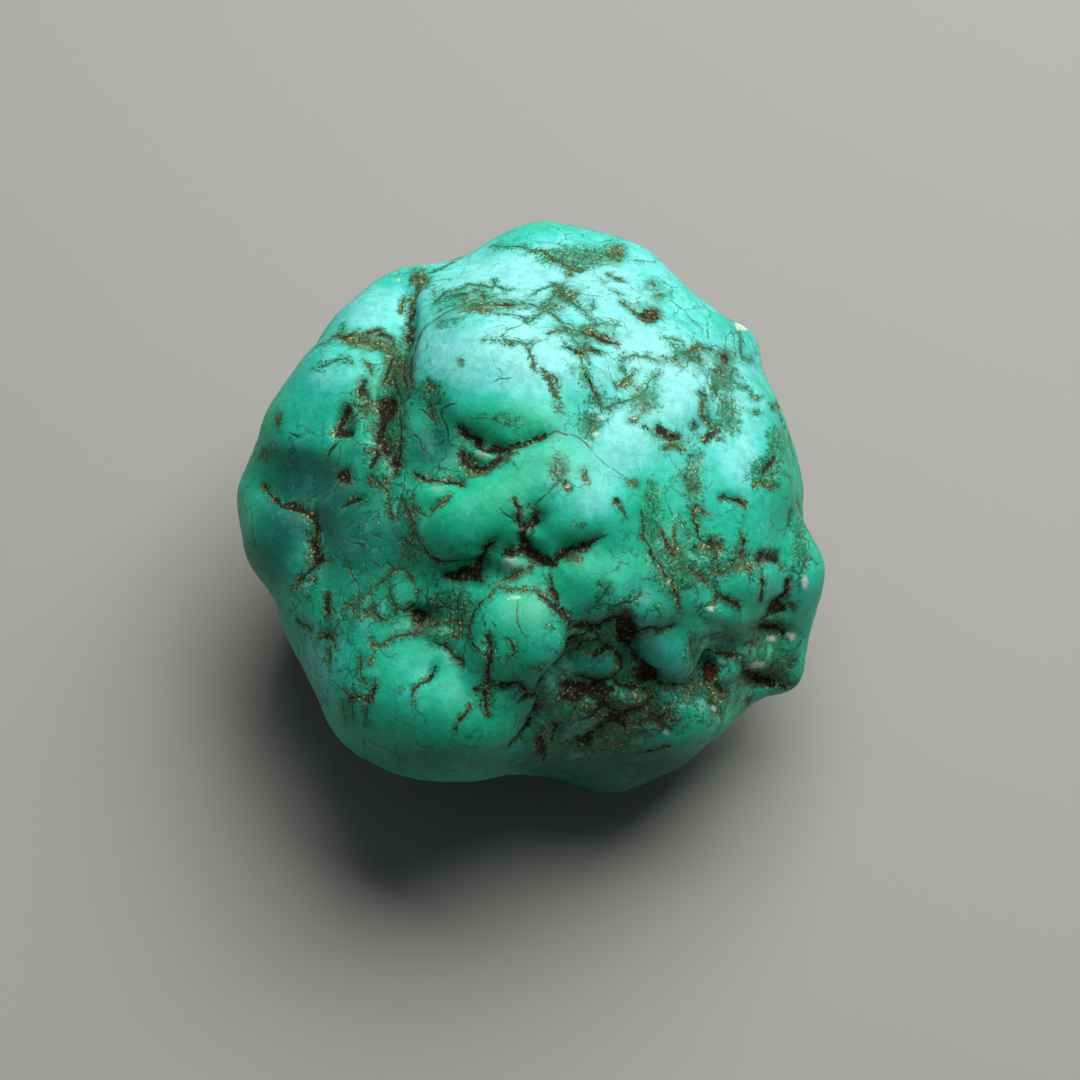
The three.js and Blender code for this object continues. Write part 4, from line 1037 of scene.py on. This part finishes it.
# The matrix in the placed veins: solid in the dark ones, then grains that thin out past the edge,
# and a green stain that spreads from it into the turquoise.
dark_mask = add_node(skin, RANGE, (edge["dark"], -0.1, 0.08, 1.0, 0.0), **SMOOTH)
rim_chance = add_node(skin, RANGE, (cloud["mottle"], 0.4, 0.56), **SMOOTH)
rim = add_node(skin, MATH, (grown(edge["dark"], 0.45, chance), rim_chance), operation="MULTIPLY")
ochre_mask = grown(edge["ochre"], 0.4, chance, -0.12)
ochre_or_rim = add_node(skin, MATH, (ochre_mask, rim), operation="MAXIMUM")
green_mask = grown(edge["green"], 1.0, chance, -0.3)
green_tint = add_node(skin, RANGE, (edge["green"], -0.3, 0.9, 0.65, 0.0), **SMOOTH)
halo_edge = add_node(skin, MATH, (fray, 0.7, brown_near), operation="MULTIPLY_ADD")
halo_reach = add_node(skin, RANGE, (lively, -0.4, 0.9, 0.6, 1.6), **SMOOTH)
halo = add_node(skin, RANGE, (halo_edge, -0.1, halo_reach, 0.7, 0.0), **SMOOTH)

# In the busy parts the matrix also lies in ragged patches, green-stained around an olive middle.
patches = weighed(cloud["crumb"], 0.0, 0.3)
patches = add_node(skin, MATH, (cloud["fray"], 0.7, patches), operation="MULTIPLY_ADD")
patches = add_node(skin, MATH, (lively, 0.16, patches), operation="MULTIPLY_ADD")
patch_tint = add_node(skin, RANGE, (patches, 0.57, 0.69, 0.0, 0.65), **SMOOTH)
patch_odds = add_node(skin, MATH, (patches, weighed(chance, 0.5, 0.16)), operation="ADD")
patch_grains = add_node(skin, RANGE, (patch_odds, 0.665, 0.69, 0.0, 0.85), **SMOOTH)

# The sharp core of a thin vein, broken where the fray wears it away.
line = add_node(skin, MATH, (field["line_across"],), operation="ABSOLUTE")
line = add_node(skin, MATH, (line, field["line_width"]), operation="SUBTRACT")
line = add_node(skin, MATH, (line, crumbling), operation="ADD")
line = add_node(skin, RANGE, (line, -0.05, 0.06, 1.0, 0.0), **SMOOTH)
for worn in (
    add_node(skin, RANGE, (field["line_away"], 0.3, 0.5, 1.0, 0.0), **SMOOTH),
    add_node(skin, RANGE, (cloud["fray"], 0.36, 0.48, 0.3, 1.0), **SMOOTH),
):
    line = add_node(skin, MATH, (line, worn), operation="MULTIPLY")
line_strength = add_node(skin, RANGE, (field["line_width"], 0.0, 0.09, 0.4, 0.92), **SMOOTH)
line_strength = add_node(skin, MATH, (line, line_strength), operation="MULTIPLY")
uneven = weighed(cloud["tone"], 0.5, 1.2)
line_green = add_node(skin, MATH, (field["line_green"], uneven), operation="ADD")
line_colour = changing(line_green, 0.1, 0.4, srgb("#15160B"), srgb("#3A4418"))
line_colour = changing(line_green, 0.5, 0.8, line_colour, srgb("#064C35"))

# Turquoise: greener with painted shade low down, bluer with a painted highlight on the tops, clouded,
# speckled.
# Blueness carries a painted highlight: the lit tops of the display face are painted bluer and paler,
# besides the stone's own bluer patches.
blueness_and_painted_highlight = add_node(skin, MATH, (field["bluer_stone_and_painted_highlight"], weighed(cloud["drift"], 0.5, 1.0)), operation="ADD")
blueness_and_painted_highlight = add_node(skin, MATH, (blueness_and_painted_highlight, weighed(cloud["mottle"], 0.5, 0.8)), operation="ADD")
stain_limit = add_node(skin, RANGE, (lively, -0.5, 0.8, 0.05, 0.4), **SMOOTH)
colour = srgb("#0CAE82")
for value, start, end, at_start, at_end, over in (
    (blueness_and_painted_highlight, -0.2, 0.8, 0.0, 1.0, "#2AC0B2"),  # bluer on the lit tops, partly a painted highlight
    (blueness_and_painted_highlight, 0.3, 1.2, 0.0, 0.75, "#94D6D6"),  # painted highlight: palest on the highest
    (field["deep_stone_and_painted_shade"], 0.0, 1.0, 0.0, 0.92, "#00504C"),  # painted shade: deep teal low down and in hollows
    (cloud["mottle"], 0.5, 0.75, 0.0, 0.2, "#62DCC6"),  # pale clouds
    (cloud["tone"], 0.6, 0.35, 0.0, 0.3, "#078060"),  # green clouds
    (cloud["fray"], 0.5, 0.32, 0.0, stain_limit, "#066A4C"),  # stains where it is lively
    (cloud["grain"], 0.6, 0.74, 0.0, 0.15, "#A9EFE0"),  # pale specks
    (cloud["grain"], 0.4, 0.26, 0.0, 0.35, "#04634A"),  # dark specks
    (pebble_shade, 0.55, 0.95, 0.0, weighed(broken, 0.0, 0.55), "#7ADCC6"),  # pale pebbles
    (pebble_shade, 0.4, 0.05, 0.0, weighed(broken, 0.0, 0.6), "#066B58"),  # deep pebbles
):
    amount = add_node(skin, RANGE, (value, start, end, at_start, at_end), **SMOOTH)
    colour = add_node(skin, MIX, (amount, colour, srgb(over)))

# What lies in the turquoise, from the faintest stain to the chips that hide it.
pebble_mask = add_node(skin, RANGE, (field["pebble"], -0.12, 0.1, 0.7, 0.0), **SMOOTH)
pale_mask = add_node(skin, RANGE, (edge["pale"], -0.15, 0.15, 0.85, 0.0), **SMOOTH)
for amount, over in (
    (halo, changing(cloud["tone"], 0.35, 0.65, srgb("#045A3E"), srgb("#0E9A6C"))),
    (green_tint, changing(cloud["crumb"], 0.4, 0.6, srgb("#07694A"), srgb("#1CA478"))),
    (weighed(green_mask, 0.0, 0.8), green_grains),
    (patch_tint, changing(cloud["tone"], 0.4, 0.6, srgb("#06573C"), srgb("#14926A"))),
    (patch_grains, olive_grains),
    (crack, srgb("#0A4230")),
    (seam_stain, srgb("#076047")),
    (seam, changing(cloud["fray"], 0.42, 0.54, dark_grains, olive_grains)),
    (pebble_mask, srgb("#6E9C80")),
    (weighed(ochre_or_rim, 0.0, 0.85), olive_grains),
    (dark_mask, changing(field["rust"], 0.15, -0.3, dark_grains, srgb("#561C0C"))),
    (line_strength, line_colour),
    (pale_mask, changing(cloud["crumb"], 0.35, 0.6, srgb("#A8C8AC"), srgb("#E4E2D0"))),
):
    colour = add_node(skin, MIX, (amount, colour, over))

dull = add_node(skin, MATH, (dark_mask, ochre_mask), operation="MAXIMUM")
dull = add_node(skin, MATH, (dull, weighed(rim, 0.0, 0.8)), operation="MAXIMUM")
roughness = add_node(skin, RANGE, (dull, 0.0, 1.0, POLISHED, UNPOLISHED), **SMOOTH)
roughness = add_node(skin, MATH, (roughness, weighed(cloud["mottle"], 0.5, 0.25)), operation="ADD")

# Worn matrix lies low and gritty, and the polish leaves a faint orange peel. Heights in mm.
PEEL = 0.05
FINE_PEEL = 0.015
GRIT = 0.16
MATRIX_SUNK = 0.14
LINE_SUNK = 0.4  # of the line's own width
PEBBLE_CROWN = 0.4  # from a pebble's edge to where its top is flat
PEBBLE_SLOPE = 0.35
coarse_peel = weighed(cloud["tone"], 0.5, PEEL)
fine_peel = weighed(cloud["grain"], 0.5, FINE_PEEL)
height = add_node(skin, MATH, (coarse_peel, fine_peel), operation="ADD")
grit = add_node(skin, MATH, (weighed(chance, 0.5, GRIT), MATRIX_SUNK), operation="SUBTRACT")
pebble_rise = add_node(skin, MATH, (to_net["seam"], PEBBLE_CROWN), operation="MINIMUM")
for where, raised in (
    (dull, grit),
    (line, weighed(field["line_width"], 0.0, -LINE_SUNK)),
    (pebble_rise, weighed(broken, 0.0, PEBBLE_SLOPE)),
):
    height = add_node(skin, MATH, (where, raised, height), operation="MULTIPLY_ADD")
relief = add_node(skin, "ShaderNodeBump", {"Height": height, "Distance": MM, "Strength": 0.9})
surface = add_node(
    skin, "ShaderNodeBsdfPrincipled",
    {
        "Base Color": colour,
        "Roughness": roughness,
        "Normal": relief,
        "IOR": TURQUOISE_IOR,
        "Specular IOR Level": POROUS_SHINE,
    },
)
add_node(skin, "ShaderNodeOutputMaterial", {"Surface": surface})

for polygon in stone.data.polygons:
    polygon.use_smooth = True
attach(stone, "root")
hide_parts("nugget")

# ---- The floor ----------------------------------------------------------------------------------
# A plain pale sheet of matt card. It is rough enough to have no shine, so the stone has only its soft
# shadow on it, and wide enough to fill the view from above and from the sides.
FLOOR_HALF = 1.2
MATT = 0.9
card = bpy.data.materials.new("matt_pale_card")
card.use_nodes = True
card_surface = card.node_tree.nodes["Principled BSDF"]
card_surface.inputs["Base Color"].default_value = srgb("#8E8C87")
card_surface.inputs["Roughness"].default_value = MATT
floor_mesh = bpy.data.meshes.new("floor")
corners = [(x * FLOOR_HALF, y * FLOOR_HALF, 0) for x, y in ((-1, -1), (1, -1), (1, 1), (-1, 1))]
floor_mesh.from_pydata(corners, [], [(0, 1, 2, 3)])
floor_mesh.materials.append(card)
floor = bpy.data.objects.new("floor", floor_mesh)
bpy.context.scene.collection.objects.link(floor)

# ---- Light and camera ---------------------------------------------------------------------------
# One large soft lamp above and behind the stone, a little to its right, and a weak pale surround
# that fills its shadows. The camera is at the eye that the display face is charted from.
LAMP_FROM_EYE_LINE = math.radians(61)
LAMP_TO_RIGHT = math.radians(15)
LAMP_DISTANCE = 0.5
LAMP_WIDTH = 0.5
LAMP_WATTS = 5.3
SURROUND_STRENGTH = 0.14
FOCAL_LENGTH = 150  # mm
SENSOR_WIDTH = 36  # mm

lamp = bpy.data.lights.new("soft_box", "AREA")
lamp.size = LAMP_WIDTH
lamp.energy = LAMP_WATTS
towards_top = out_of_face * math.cos(LAMP_FROM_EYE_LINE) + up_face * math.sin(LAMP_FROM_EYE_LINE)
towards_lamp = across * math.sin(LAMP_TO_RIGHT) + towards_top * math.cos(LAMP_TO_RIGHT)
soft_box = bpy.data.objects.new("soft_box", lamp)
soft_box.location = datum + towards_lamp * LAMP_DISTANCE
soft_box.rotation_euler = (-towards_lamp).to_track_quat("-Z", "Y").to_euler()
bpy.context.scene.collection.objects.link(soft_box)
surround = bpy.data.worlds.new("surround")
surround.use_nodes = True
surround.node_tree.nodes["Background"].inputs["Color"].default_value = srgb("#DDE6EA")
surround.node_tree.nodes["Background"].inputs["Strength"].default_value = SURROUND_STRENGTH
bpy.context.scene.world = surround
bpy.context.scene.view_settings.view_transform = "Standard"

lens = bpy.data.cameras.new("camera")
lens.lens = FOCAL_LENGTH
lens.sensor_width = SENSOR_WIDTH
lens.clip_start = 10 * MM
camera = bpy.data.objects.new("camera", lens)
camera.location = eye
camera.rotation_euler = (-out_of_face).to_track_quat("-Z", "Y").to_euler()
bpy.context.scene.collection.objects.link(camera)
bpy.context.scene.camera = camera
